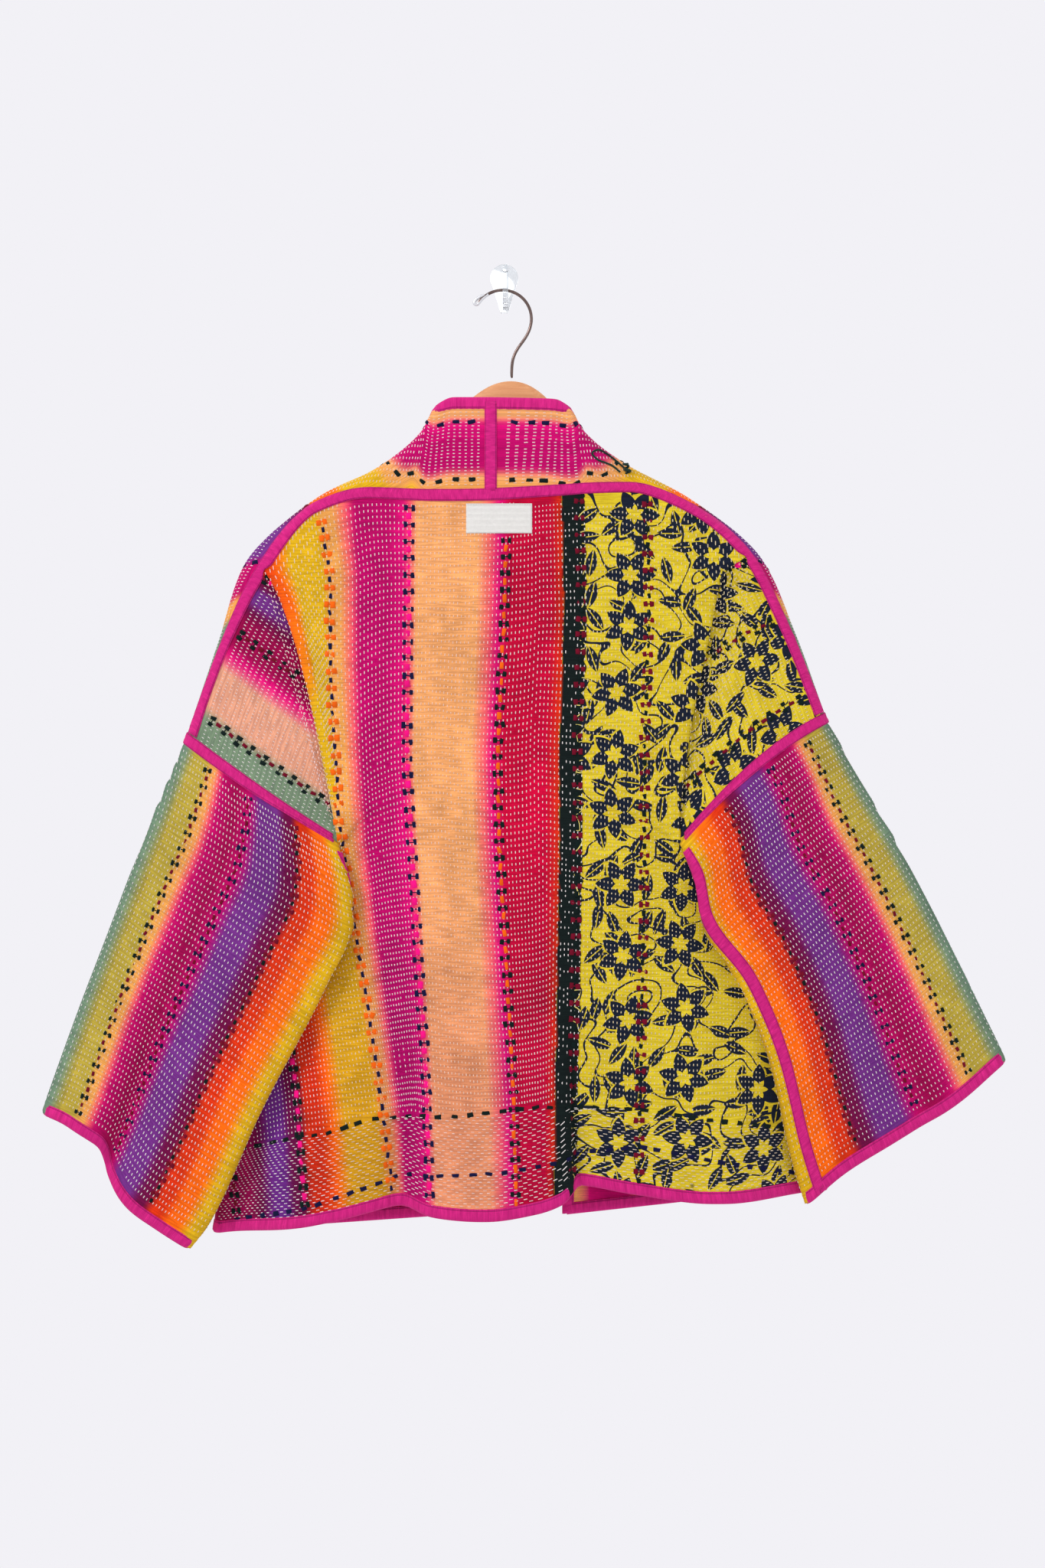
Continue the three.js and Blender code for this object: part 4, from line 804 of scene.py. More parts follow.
class Nodes:
    """Short names for the nodes that a material needs."""

    def __init__(self, tree):
        self.tree = tree

    def add(self, kind, **settings):
        node = self.tree.nodes.new(kind)
        for key, value in settings.items():
            setattr(node, key, value)
        return node

    def link(self, source, target):
        if hasattr(source, "links"):
            self.tree.links.new(source, target)
        else:
            target.default_value = source

    def math(self, operation, a, b=0.0):
        node = self.add("ShaderNodeMath", operation=operation)
        for value, socket in zip((a, b), node.inputs):
            self.link(value, socket)
        return node.outputs[0]

    def plus(self, a, b):
        return self.math("ADD", a, b)

    def minus(self, a, b):
        return self.math("SUBTRACT", a, b)

    def times(self, a, b):
        return self.math("MULTIPLY", a, b)

    def over(self, a, b):
        return self.math("DIVIDE", a, b)

    def size(self, a):
        return self.math("ABSOLUTE", a)

    def place(self):
        """Where a point lies, in metres."""
        return self.add("ShaderNodeTexCoord").outputs["Object"]

    def vector(self, x, y, z=0.0):
        node = self.add("ShaderNodeCombineXYZ")
        for value, socket in zip((x, y, z), node.inputs):
            self.link(value, socket)
        return node.outputs[0]

    def split(self, vector):
        node = self.add("ShaderNodeSeparateXYZ")
        self.link(vector, node.inputs[0])
        return node.outputs

    def attribute(self, name):
        return self.add("ShaderNodeAttribute", attribute_name=name)

    def noise(self, vector, scale, detail=2.0):
        node = self.add("ShaderNodeTexNoise")
        self.link(vector, node.inputs["Vector"])
        node.inputs["Scale"].default_value = scale
        node.inputs["Detail"].default_value = detail
        return node.outputs[0]

    def mix(self, share, a, b, blend="MIX"):
        node = self.add("ShaderNodeMix", data_type="RGBA", blend_type=blend)
        self.link(share, node.inputs[0])
        for value, socket in ((a, node.inputs[6]), (b, node.inputs[7])):
            self.link(value if hasattr(value, "links") else (*value, 1), socket)
        return node.outputs[2]

    def less(self, a, b, soft):
        """1 where a is below b, with a soft edge."""
        return self.clamp(self.plus(self.over(self.minus(b, a), soft), 0.5))

    def clamp(self, a):
        node = self.add("ShaderNodeClamp")
        self.link(a, node.inputs[0])
        return node.outputs[0]

    def bump(self, height, distance, strength, shader):
        node = self.add("ShaderNodeBump")
        node.inputs["Distance"].default_value = distance
        node.inputs["Strength"].default_value = strength
        self.link(height, node.inputs["Height"])
        self.link(node.outputs[0], shader.inputs["Normal"])


THREADS = 0.55       # between the threads of the plain weave, in millimetres


def woven(n, s, t):
    """Height of a plain weave over two directions in millimetres."""
    turn = 2 * math.pi / THREADS
    a = n.math("SINE", n.times(s, turn))
    b = n.math("SINE", n.times(t, turn))
    return n.plus(n.times(a, b), n.times(n.plus(a, b), 0.4))


def cell(n, s, t, size, random, seed):
    """Place inside the nearest of many scattered cells: two distances in millimetres and a random number."""
    scaled = n.vector(n.over(n.plus(s, seed), size[0]), n.over(t, size[1]))
    voronoi = n.add("ShaderNodeTexVoronoi", voronoi_dimensions="2D", feature="F1")
    n.link(scaled, voronoi.inputs["Vector"])
    voronoi.inputs["Scale"].default_value = 1
    voronoi.inputs["Randomness"].default_value = random
    own, centre = n.split(scaled), n.split(voronoi.outputs["Position"])
    u = n.times(n.minus(own[0], centre[0]), size[0])
    v = n.times(n.minus(own[1], centre[1]), size[1])
    return u, v, n.split(voronoi.outputs["Color"])[0]


def petals(n, u, v, turn, radius, count, notch):
    """How far a point lies inside a flower of pointed petals, in millimetres."""
    angle = n.plus(n.math("ARCTAN2", v, u), turn)
    place = n.math("PINGPONG", n.times(angle, count / (2 * math.pi)), 0.5)
    edge = n.times(n.minus(1.0, n.times(place, 2 * notch)), radius)
    far = n.math("SQRT", n.plus(n.times(u, u), n.times(v, v)))
    return n.minus(edge, far)


def leaf(n, u, v, turn, length, width):
    """How far a point lies inside a pointed leaf, and its distance from the leaf's rib."""
    c, s = n.math("COSINE", turn), n.math("SINE", turn)
    a = n.plus(n.times(u, c), n.times(v, s))
    b = n.size(n.minus(n.times(v, c), n.times(u, s)))
    share = n.over(a, length)
    edge = n.times(n.minus(1.0, n.times(share, share)), width)
    return n.minus(edge, b), b


TURN = 6.28
FLOWER, STAR = (24.0, 6, 0.46), (9.5, 6, 0.5)     # radius, petals and depth of the notches between them
LEAF = (13.5, 5.2)                                # half length, half width
FLOWER_CELL, LEAF_CELL = (66, 60), (23, 25)       # between neighbours, across and along the cloth


def print_colour(n, s, t):
    """A block print of navy flowers, leaves and vines on yellow, of this script's own design."""
    ground = n.mix(n.noise(n.vector(s, t), 0.03), srgb(190, 162, 26), srgb(222, 198, 50))
    dark = n.mix(n.noise(n.vector(s, t), 0.25), srgb(12, 18, 34), srgb(26, 34, 52))
    u, v, pick = cell(n, s, t, FLOWER_CELL, 0.45, 12.0)
    turn = n.times(pick, TURN)
    flower = petals(n, u, v, turn, *FLOWER)
    star = petals(n, u, v, n.plus(turn, 0.5), *STAR)
    lu, lv, leaf_pick = cell(n, s, t, LEAF_CELL, 0.9, 40.0)
    inside, rib = leaf(n, lu, lv, n.times(leaf_pick, TURN), *LEAF)
    drift = n.noise(n.vector(s, t), 0.02, 1.0)
    vine = n.math("MINIMUM", n.size(n.minus(drift, 0.44)),
                  n.size(n.minus(drift, 0.56)))
    clear = n.less(flower, -2.5, 0.6)
    in_leaf = n.times(n.times(n.less(0.0, inside, 0.5), clear), n.less(0.45, rib, 0.3))
    in_vine = n.times(n.less(vine, 0.009, 0.003), n.less(flower, -1.0, 0.6))
    in_flower = n.times(n.less(0.0, flower, 0.5), n.less(star, 0.0, 0.5))
    inked = n.math("MAXIMUM", n.math("MAXIMUM", in_leaf, in_vine), in_flower)
    return n.mix(inked, ground, dark), flower, inside


def cloth_material():
    made, n, shader = material("quilted_cotton", 0.92, "quilted_cotton", 0.03)
    tint = n.attribute("tint").outputs["Color"]
    s, t, floral = n.split(n.attribute("weave").outputs["Vector"])
    printed, flower, leaves = print_colour(n, s, t)
    waver = n.times(n.minus(n.noise(n.vector(0.0, t), 0.12), 0.5), 9.0)
    edge = n.plus(s, waver)
    beside = n.times(n.less(s, -66.5, 0.6), n.less(-88.0, edge, 1.0))
    bordered = n.times(n.less(edge, -82.0, 0.5), n.less(-106.0, edge, 0.5))
    near_edge = n.size(n.plus(flower, 1.6))
    outline_here = n.times(n.less(near_edge, 0.5, 0.3), bordered)
    leaf_line = n.times(n.less(n.size(n.plus(leaves, 0.7)), 0.45, 0.3), bordered)
    strip = n.mix(n.math("MAXIMUM", outline_here, leaf_line), srgb(14, 24, 24), srgb(214, 196, 110))
    printed = n.mix(beside, printed, strip)
    base = n.mix(n.times(floral, n.less(s, -66.3, 0.5)), tint, printed)
    fibre = n.noise(n.vector(s, n.times(t, 0.3)), 1.1, 3.0)
    pulled = n.noise(n.vector(n.times(s, 0.05), n.times(t, 0.62)), 1.0, 3.0)
    streak = n.times(n.less(0.5, pulled, 0.16), n.plus(fibre, 0.1))
    worn = n.mix(streak, base, (1.5, 1.55, 1.4), "MULTIPLY")
    slub = n.noise(n.vector(n.times(s, 0.2), t), 1.4, 2.0)
    shaded = n.mix(0.45, worn, n.mix(slub, (0.62, 0.62, 0.62), (1.25, 1.25, 1.25)), "MULTIPLY")
    n.link(shaded, shader.inputs["Base Color"])
    height = n.plus(n.times(woven(n, s, t), 0.5), n.times(fibre, 1.2))
    n.bump(height, 0.00012, 0.8, shader)
    return made


def thread_material():
    made, n, shader = material("stitch_thread", 0.85, "thread", 0.03)
    tint = n.attribute("tint").outputs["Color"]
    place = n.place()
    twist = n.noise(place, 1800, 2.0)
    n.link(n.mix(0.4, tint, n.mix(twist, (0.55, 0.55, 0.55), (1.3, 1.3, 1.3)), "MULTIPLY"),
           shader.inputs["Base Color"])
    n.bump(twist, 0.0002, 0.5, shader)
    return made


SEWN = 0.86          # place of the sewn line on a tape, as a share of its half width


def tape_material():
    """Tape whose attribute holds its length in millimetres and the share of its half width."""
    made, n, shader = material("binding_tape", 0.82, "binding_tape", 0.05)
    along, share, half = n.split(n.attribute("weave").outputs["Vector"])
    reach = n.size(share)
    cloud = n.noise(n.vector(n.times(along, 0.3), n.times(share, 0.6)), 1.0, 4.0)
    ground = n.mix(cloud, srgb(166, 4, 98), srgb(234, 46, 142))
    slub = n.noise(n.vector(n.times(along, 1.5), n.times(share, 0.7)), 1.0, 3.0)
    ground = n.mix(0.85, ground, n.mix(slub, (0.5, 0.45, 0.5), (1.5, 1.6, 1.45)), "MULTIPLY")
    groove_and_shade = n.less(n.size(n.minus(reach, SEWN)), 0.05, 0.05)
    dashes = n.less(n.math("PINGPONG", along, 1.2), 0.85, 0.3)
    sewn = n.times(groove_and_shade, dashes)
    # The base colour darkens along the sewn groove: painted shade in the recess
    n.link(n.mix(n.times(groove_and_shade, 0.55), ground, srgb(112, 12, 74)), shader.inputs["Base Color"])
    pucker = n.noise(n.vector(n.times(along, 0.45), n.times(share, 0.8)), 1.0, 3.0)
    height = n.plus(n.times(pucker, 3.0), n.times(woven(n, along, half), 0.25))
    height = n.plus(height, n.times(sewn, 1.0))
    height = n.minus(height, n.times(groove_and_shade, 1.6))
    n.bump(height, 0.0002, 0.9, shader)
    return made


CLOTH_LOOK, THREAD_LOOK, TAPE_LOOK = cloth_material(), thread_material(), tape_material()

pieces = {
    "cloth_back": shell("cloth_back", [back_body_sheet, *wing_sheets], CLOTH_LOOK),
}
for side in ("left", "right"):
    parts = fronts[side]
    pieces[f"cloth_front_{side}"] = shell(f"cloth_front_{side}", [parts["over"], parts["rear"]], CLOTH_LOOK)
    pieces[f"cloth_sleeve_{side}"] = shell(f"cloth_sleeve_{side}", [sleeves[side]], CLOTH_LOOK)


# Binding tape


TAPE_HALF, EDGE_REACH = 5.4, 10.2    # a tape's reach from its seam, and from a free edge
TAPE_THICK, LABEL_THICK = 0.35, 0.45
WRINKLE = 0.12


def inset(lines, distances):
    """Points at these distances along each line of points, the lines starting at the edge."""
    length = steps(lines, 1)
    out = np.empty((len(lines), len(distances), 3))
    for k, (line, at) in enumerate(zip(lines, length)):
        for axis in range(3):
            out[k, :, axis] = np.interp(distances, at, line[:, axis])
    return out


def smoothed(rows, times):
    for _ in range(times):
        rows[1:-1] = 0.25 * rows[:-2] + 0.5 * rows[1:-1] + 0.25 * rows[2:]
    return rows


def thicken(obj, thickness):
    solid = obj.modifiers.new("thickness", "SOLIDIFY")
    solid.thickness = thickness * MM
    solid.offset = -1


def ribbon(name, rows, shares):
    """Tape from rows of points across it, each row a place along its length."""
    count, across = rows.shape[:2]
    along = np.concatenate([[0], np.cumsum(np.linalg.norm(np.diff(rows[:, across // 2], axis=0), axis=1))])
    weave = weave_of(along[:, None], np.asarray(shares)[None], np.linspace(-6, 6, across)[None])
    obj = mesh_object(name, rows.reshape(-1, 3), grid_faces(count, across, 0, False), TAPE_LOOK,
                      weave=weave.reshape(-1, 3))
    thicken(obj, TAPE_THICK)
    return obj


# Across a tape over a seam: share of its half width and height above the cloth
SEAM_SHARES = [-1.02, -0.97, -0.8, -0.45, 0, 0.45, 0.8, 0.97, 1.02]
SEAM_RISE = [-0.1, 0.75, 1.05, 1.15, 1.1, 1.15, 1.05, 0.75, -0.1]


def seam_tape(name, first_lines, second_lines, first_out, second_out):
    """Tape over a seam between two pieces, from lines of points that leave the seam on each side."""
    distances = np.array([abs(k) * TAPE_HALF for k in SEAM_SHARES])
    middle = len(SEAM_SHARES) // 2
    one = inset(first_lines, distances[middle:])
    two = inset(second_lines, distances[middle:])
    centre = (one[:, 0] + two[:, 0]) / 2
    rows = np.concatenate([one[:, :0:-1], centre[:, None], two[:, 1:]], 1)
    rows = smoothed(rows, 2)
    out = np.cross(np.gradient(rows, axis=0), np.gradient(rows, axis=1))
    facing = unit(first_out + second_out)[:, None]
    out = unit(out * np.sign((out * facing).sum(-1, keepdims=True)))
    rise = HALF + np.array(SEAM_RISE)[None, :, None]
    wrinkle = WRINKLE * rng.normal(0, 1, (len(rows), len(SEAM_SHARES), 1))
    wrinkle[:, [0, -1]] = 0
    return ribbon(name, rows + out * (rise + wrinkle), SEAM_SHARES)


# Across a tape folded round an edge: share of its width, reach past the edge and height above the cloth
EDGE_SHARES = [1.02, 0.97, 0.7, 0.35, 0.1, 0.0, -0.0, -0.1, -0.35, -0.7, -0.97, -1.02]
EDGE_OUT = [0, 0, 0, 0, 0.5, 1.3, 1.3, 0.5, 0, 0, 0, 0]
EDGE_RISE = [-0.15, 0.7, 1.0, 1.05, 0.95, -0.45, -0.45, 0.95, 1.05, 1.0, 0.7, -0.15]


def edge_tape(name, lines, out):
    """Tape folded round a free edge, from lines of points that start at the edge."""
    distances = [0.0, 1.0, 3.5, 7.0, 9.7, EDGE_REACH]
    line = inset(lines, distances)
    outward = unit(line[:, 0] - line[:, 2])
    normal = np.cross(np.gradient(line, axis=0), np.gradient(line, axis=1))
    normal = unit(normal * np.sign((normal * out[:, None]).sum(-1, keepdims=True)))
    order = [5, 4, 3, 2, 1, 0, 0, 1, 2, 3, 4, 5]
    side = np.array([1] * 6 + [-1] * 6)
    rise = (HALF + np.array(EDGE_RISE)) * side
    rows = line[:, order] + normal[:, order] * rise[None, :, None]
    rows = rows + outward[:, None] * np.array(EDGE_OUT)[None, :, None]
    wrinkle = WRINKLE * rng.normal(0, 1, (len(rows), len(order), 1)) * side[None, :, None]
    wrinkle[:, [0, 5, 6, -1]] = 0
    return ribbon(name, smoothed(rows, 1) + normal[:, order] * wrinkle, EDGE_SHARES)


def columns_of(grid):
    return grid.transpose(1, 0, 2)


BESIDE_NECK = 12      # points of a line that leaves the neck seam
EDGE_LINE = 8         # points of a line that leaves a free edge
FREE_REACH = 14       # length of such a line down a front
COLLAR_TURN, COLLAR_TURNED = 0.55, 0.45   # shares of the collar half before and while its lines turn

tapes = []
neck_first, neck_second, neck_out = [], [], []
for half in (LEFT, RIGHT):
    over = fronts[half["name"]]["over"]
    lines = columns_of(over["grid"])
    body = columns_of(back_grid)
    beside = [body[MIDDLE_COLUMN + half["sign"] * k][:BESIDE_NECK] for k in range(NECK_STEPS)]
    fan = wings[half["name"]]["grid"]
    beside += [fan[i][:BESIDE_NECK] for i in range(DROP_STEPS - 1)]
    lines, beside = lines[:len(beside)], np.array(beside)
    grid_out = over["normal"][0, :len(beside)]
    if half is LEFT:
        lines, beside, grid_out = lines[::-1], beside[::-1], grid_out[::-1]
    else:
        lines, beside, grid_out = lines[1:], beside[1:], grid_out[1:]
    neck_first.append(lines)
    neck_second.append(beside)
    neck_out.append(grid_out)
outward = np.concatenate(neck_out)
tapes.append(seam_tape("tape_neck_shoulder", np.concatenate(neck_first), np.concatenate(neck_second), outward,
                       outward))
pair = [fronts[side]["over"]["grid"][:, :9] for side in ("left", "right")]
out = fronts["left"]["over"]["normal"][:, 0]
tapes.append(seam_tape("tape_centre_back", pair[0][1:-1], pair[1][1:-1], out[1:-1], out[1:-1]))

for half in (LEFT, RIGHT):
    side, sign = half["name"], half["sign"]
    fan, parts, arm = wings[side], fronts[side], sleeves[side]
    rear, over = parts["rear"]["grid"], parts["over"]["grid"]
    reach = np.linspace(0, 0.03, 9)[:, None]
    end = abs(armhole_over(half, np.array([1.0]))[0])
    t = FOLD_PLACE[FOLD_PLACE <= 1]
    loop = np.concatenate([lerp(SEAM_END, 1, np.linspace(0, 1, WING_DOWN))[:0:-1],
                           armhole_over(half, np.linspace(0, 1, OVER_ROWS)), -lerp(end, 1, t)[1:]])
    on_sleeve = sleeve_point(half, reach, loop[None]).transpose(1, 0, 2)
    on_body = np.concatenate([fan["grid"][:-8:-1][:, :0:-1].transpose(1, 0, 2),
                              over[:, :-8:-1], rear[1:len(t), :-8:-1]])
    facing = np.concatenate([fan["normal"][-1][:0:-1], parts["over"]["normal"][:, -1],
                             parts["rear"]["normal"][1:len(t), -1]])
    keep = slice(2, -3)
    facing = facing[keep]
    tapes.append(seam_tape(f"tape_armhole_{side}", on_sleeve[keep], on_body[keep], facing, facing))
    lines = arm["grid"][3:-1]
    facing = unit(arm["normal"][:, 0] + arm["normal"][:, -1])[3:-1]
    tapes.append(seam_tape(f"tape_underarm_{side}", lines[:, :8], lines[:, :-9:-1], facing, facing))
    low = slice(len(t) + 1, len(ROWS) - 1)
    column = 0 if half is LEFT else -1
    inward = back_grid[low, :14] if half is LEFT else back_grid[low, :-15:-1]
    facing = back_body_sheet["normal"][low, column]
    tapes.append(seam_tape(f"tape_side_{side}", inward, rear[low, :-15:-1], facing, facing))
    cuff = arm["grid"][::-1][:EDGE_LINE].transpose(1, 0, 2)
    tapes.append(edge_tape(f"tape_cuff_{side}", cuff, arm["normal"][-1]))
    bottom = rear[::-1][:EDGE_LINE, 1:-1].transpose(1, 0, 2)
    tapes.append(edge_tape(f"tape_hem_{side}", bottom, parts["rear"]["normal"][-1, 1:-1]))

bottom = back_grid[::-1][:EDGE_LINE, 1:-1].transpose(1, 0, 2)
tapes.append(edge_tape("tape_hem_back", bottom, back_body_sheet["normal"][-1, 1:-1]))


def free_edge(half):
    """Lines that leave the free edge, from the middle of the collar round the neck corner and down."""
    parts = fronts[half["name"]]
    over, rear = parts["over"]["grid"], parts["rear"]["grid"]
    lines, out = [], []
    for j in range(COLLAR_STEPS + 1):
        turned = (j - COLLAR_TURN * COLLAR_STEPS) / (COLLAR_TURNED * COLLAR_STEPS)
        turn = smooth(np.array(turned)) * math.pi / 2
        k = np.arange(EDGE_LINE)
        r = OVER_ROWS - 1 - k * math.cos(turn)
        c = j + k * math.sin(turn)
        i0, j0 = np.clip(np.floor(r).astype(int), 0, OVER_ROWS - 2), np.floor(c).astype(int)
        fr, fc = (r - i0)[:, None], (c - j0)[:, None]
        near = lerp(over[i0, j0], over[i0, j0 + 1], fc)
        far = lerp(over[i0 + 1, j0], over[i0 + 1, j0 + 1], fc)
        lines.append(lerp(near, far, fr))
        out.append(parts["over"]["normal"][-1, j])
    reach = np.linspace(0, FREE_REACH, EDGE_LINE)
    lines += list(inset(rear[1:], reach))
    out += list(parts["rear"]["normal"][1:, 0])
    return np.array(lines), np.array(out)


free = {half["name"]: free_edge(half) for half in (LEFT, RIGHT)}
joined = np.concatenate([free["left"][0][::-1], free["right"][0][1:]])
joined_out = np.concatenate([free["left"][1][::-1], free["right"][1][1:]])
tapes.append(edge_tape("tape_front_collar", joined, joined_out))

# Running stitches


def columns_at(grid, normal, s, targets, phase):
    """Lines of the grid's rows at which s has each target value, not a number where it hasn't."""
    lines = np.full((len(targets), grid.shape[0], 3), np.nan)
    facing = np.full_like(lines, np.nan)
    places = np.full(lines.shape[:2], np.nan)
    index = np.arange(grid.shape[1])
    for i in range(grid.shape[0]):
        order = np.argsort(s[i], kind="stable")
        position = np.interp(targets, s[i][order], index[order], left=np.nan, right=np.nan)
        good = np.isfinite(position)
        lines[good, i] = at_places(grid[i], position[good])
        facing[good, i] = at_places(normal[i], position[good])
        places[good, i] = phase[i, 0]
    return lines, facing, places


BACK_TARGETS = np.arange(-260, 320, COLUMN)   # stripe places of the back's lines of stitches
STITCHES_TOP = -222      # the back's stitches stop below the neck tape
BORDER_TOP = -786        # no part of the band along the hem is higher
FIRST_LINE = 12          # from a front's free edge to its first line of stitches
COLLAR_LINES = 0.92      # share of the collar half that is stitched along its length
WING_BARE = 6            # a folded side has no stitches this near its shoulder

stitches = {name: Bars() for name in ("back", "front_left", "front_right", "sleeve_left", "sleeve_right")}

inner = slice(EDGE_COUNT - 3, -(EDGE_COUNT - 3))
face, normal, s = back_body_sheet["face"][:, inner], back_body_sheet["normal"][:, inner], back_s[:, inner]
lines, facing, places = columns_at(face, normal, s, BACK_TARGETS, back_rows[:, inner])
low = lines[..., 2] < np.interp(lines[..., 0], *np.array(BORDER_LINE).T)
places[low | (lines[..., 2] > STITCHES_TOP)] = np.nan
running(stitches["back"], lines, facing, thinned(lines, places), bands(BACK_STRIPES, BACK_TARGETS))
rows = np.arange(len(ROWS))[np.min(face[..., 2], 1) < BORDER_TOP]
for i in rows[:-3]:
    place = np.where(border[i, inner], across[i, inner] + 0.5 * (i % 2), np.nan)
    ground = back_body_sheet["colour"][i, inner]
    running(stitches["back"], face[i][None], normal[i][None], place[None], ground[None])

for half in (LEFT, RIGHT):
    side = half["name"]
    fan = wings[side]
    place = np.where(steps(fan["grid"], 1) < WING_BARE, np.nan, fan["phase"])
    place = thinned(fan["face"][2:-2], place[2:-2])
    running(stitches["back"], fan["face"][2:-2], fan["normal"][2:-2], place, fan["colour"][2:-2])
    parts = fronts[side]
    bars = stitches[f"front_{side}"]
    over = parts["over"]
    columns = over["grid"].shape[1]
    along_edge = int(COLLAR_STEPS * COLLAR_LINES)
    for i in range(3, OVER_ROWS - 4):
        place = np.where(np.arange(columns) <= along_edge, parts["columns"][i], np.nan)
        place[:2] = np.nan
        running(bars, over["face"][i][None], over["normal"][i][None], place[None], over["colour"][i][None])
    lines, facing, grounds = columns_of(over["face"]), columns_of(over["normal"]), columns_of(over["colour"])
    place = parts["rows"].T.copy()
    place[:, -1] = np.nan
    for j in range(along_edge + 1, columns - 2):
        place[j, :3] = np.nan
        if j < COLLAR_STEPS + 4:
            place[j, -4:] = np.nan
        running(bars, lines[j][None], facing[j][None], place[j][None], grounds[j][None])
    rear = parts["rear"]
    targets = np.arange(FIRST_LINE, parts["e_rear"].max(), COLUMN)
    lines, facing, places = columns_at(rear["face"], rear["normal"], parts["e_rear"], targets,
                                       parts["row_phase"])
    places[:, -4:] = np.nan
    running(bars, lines, facing, places, bands(FRONT_STRIPES, targets))
    arm = sleeves[side]
    lines, facing, places = columns_of(arm["face"]), columns_of(arm["normal"]), arm["phase"].T.copy()
    places[:, :2] = np.nan
    places[:, -4:] = np.nan
    grounds = columns_of(arm["colour"])
    running(stitches[f"sleeve_{side}"], lines[2:-2], facing[2:-2], places[2:-2], grounds[2:-2])

stitch_pieces = {name: bars.make(f"stitches_{name}", THREAD_LOOK) for name, bars in stitches.items()}
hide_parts("back")
for side in ("left", "right"):
    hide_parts(f"front_{side}")
    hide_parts(f"sleeve_{side}")
replaced = {"tape_neck_shoulder": ["bind_neck_shoulder"], "tape_centre_back": ["bind_centre_back"],
            "tape_hem_back": ["bind_hem_back"],
            "tape_front_collar": ["bind_collar_left", "bind_collar_right", "bind_front_left",
                                  "bind_front_right"]}
for tape in tapes:
    for node in replaced.get(tape.name, [tape.name.replace("tape_", "bind_")]):
        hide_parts(node)


# Thick decorative stitches


class Pads:
    """Small raised pads of thread, several strands wide, in one mesh."""

    LINES = np.array([-1, -0.82, 0, 0.82, 1])
    SUNK = -0.2

    def __init__(self):
        self.vertices, self.faces, self.colours, self.count = [], [], [], 0

    def add(self, centre, along, normal, half_long, half_wide, colour, height=1.25):
        turn = rng.normal(0, 0.1)
        side = np.cross(along, normal)
        along = along * math.cos(turn) + side * math.sin(turn)
        side = unit(np.cross(along, normal))
        u, v = np.meshgrid(self.LINES, self.LINES, indexing="ij")
        out = height * (1 - u ** 8) * (1 - v ** 6) + self.SUNK
        skew = rng.normal(0, 0.07, 4)
        wide = half_wide * (1 + skew[0] + skew[1] * u)
        long = half_long * (1 + skew[2] + skew[3] * v)
        points = (centre + along * (u * long)[..., None] + side * (v * wide)[..., None]
                  + normal * out[..., None])
        self.faces.append(grid_faces(5, 5, self.count, True))
        self.vertices.append(points.reshape(-1, 3))
        self.colours.append(np.broadcast_to(colour * rng.uniform(0.85, 1.1), (25, 3)))
        self.count += 25

    make = Bars.make


# The label's edges, in the plane of the photograph
LABEL = {"left": -35.3, "right": 26.6, "top": -224.6, "bottom": -252.7}


def under_label(points):
    """Whether a point of the back lies under the label, or so near that a thick stitch would reach it."""
    x, y, z = points
    beside = LABEL["left"] - 1 < x < LABEL["right"] + 1
    return beside and LABEL["bottom"] - 4 < z < LABEL["top"] + 4 and y < HANG_Y


def walked(line, normal, start, step):
    """Places at even steps along a line: point, direction and normal."""
    good = np.isfinite(line[:, 0])
    line, normal = line[good], normal[good]
    if len(line) < 3:
        return []
    length = np.concatenate([[0], np.cumsum(np.linalg.norm(np.diff(line, axis=0), axis=1))])
    position = np.interp(np.arange(start, length[-1] - start * 0.6, step), length, np.arange(len(line)))
    points = at_places(line, position)
    ahead = at_places(line, np.minimum(position + 0.5, len(line) - 1))
    behind = at_places(line, np.maximum(position - 0.5, 0))
    return list(zip(range(len(points)), points, unit(ahead - behind), unit(at_places(normal, position))))


# Sizes of a pair's pads, in millimetres: from the line to each, half length, half width
PAIRS = {"orange": (2.9, 2.9, 2.2), "navy": (3.5, 2.8, 1.7), "green": (3.1, 2.8, 1.9),
         "dark_red": (3.0, 2.6, 2.0)}
# Sizes of a single pad: half length, half width
SINGLES = {"navy": (2.8, 1.6), "hot_pink": (3.4, 2.4), "orange": (3.6, 1.8), "dark_red": (2.7, 1.7),
           "green": (2.7, 1.8)}


CROSS_STEP, DASH_STEP = 7.9, 15.4
STRAND_WIDE, STRAND_HIGH = 0.55, 0.9


def crosses(pads, line, normal, pair, single, start, scale=1.0):
    """Pairs of pads side by side, joined by a strand, with a single long one between."""
    apart, pair_long, pair_wide = (scale * k for k in PAIRS[pair])
    single_long, single_wide = (scale * k for k in SINGLES[single])
    for k, point, along, out in walked(line, normal, start, CROSS_STEP):
        point = point + rng.normal(0, 0.3, 3)
        side = unit(np.cross(along, out))
        if under_label(point):
            continue
        if k % 2:
            pads.add(point, along, out, single_long, single_wide, srgb(*INK[single]))
            continue
        pads.add(point, side, out, apart, STRAND_WIDE, srgb(*INK[pair]), STRAND_HIGH)
        for way in (-1, 1):
            beside = point + side * way * apart + along * rng.normal(0, 0.35)
            pads.add(beside, along, out, pair_long, pair_wide, srgb(*INK[pair]))


def dashes(pads, line, normal, ink, start=9.0):
    """One thick running line."""
    for _, point, along, out in walked(line, normal, start, DASH_STEP):
        point = point + along * rng.normal(0, 0.8)
        pads.add(point, along, out, rng.uniform(2.9, 4.0), rng.uniform(1.7, 2.3), srgb(*INK[ink]))


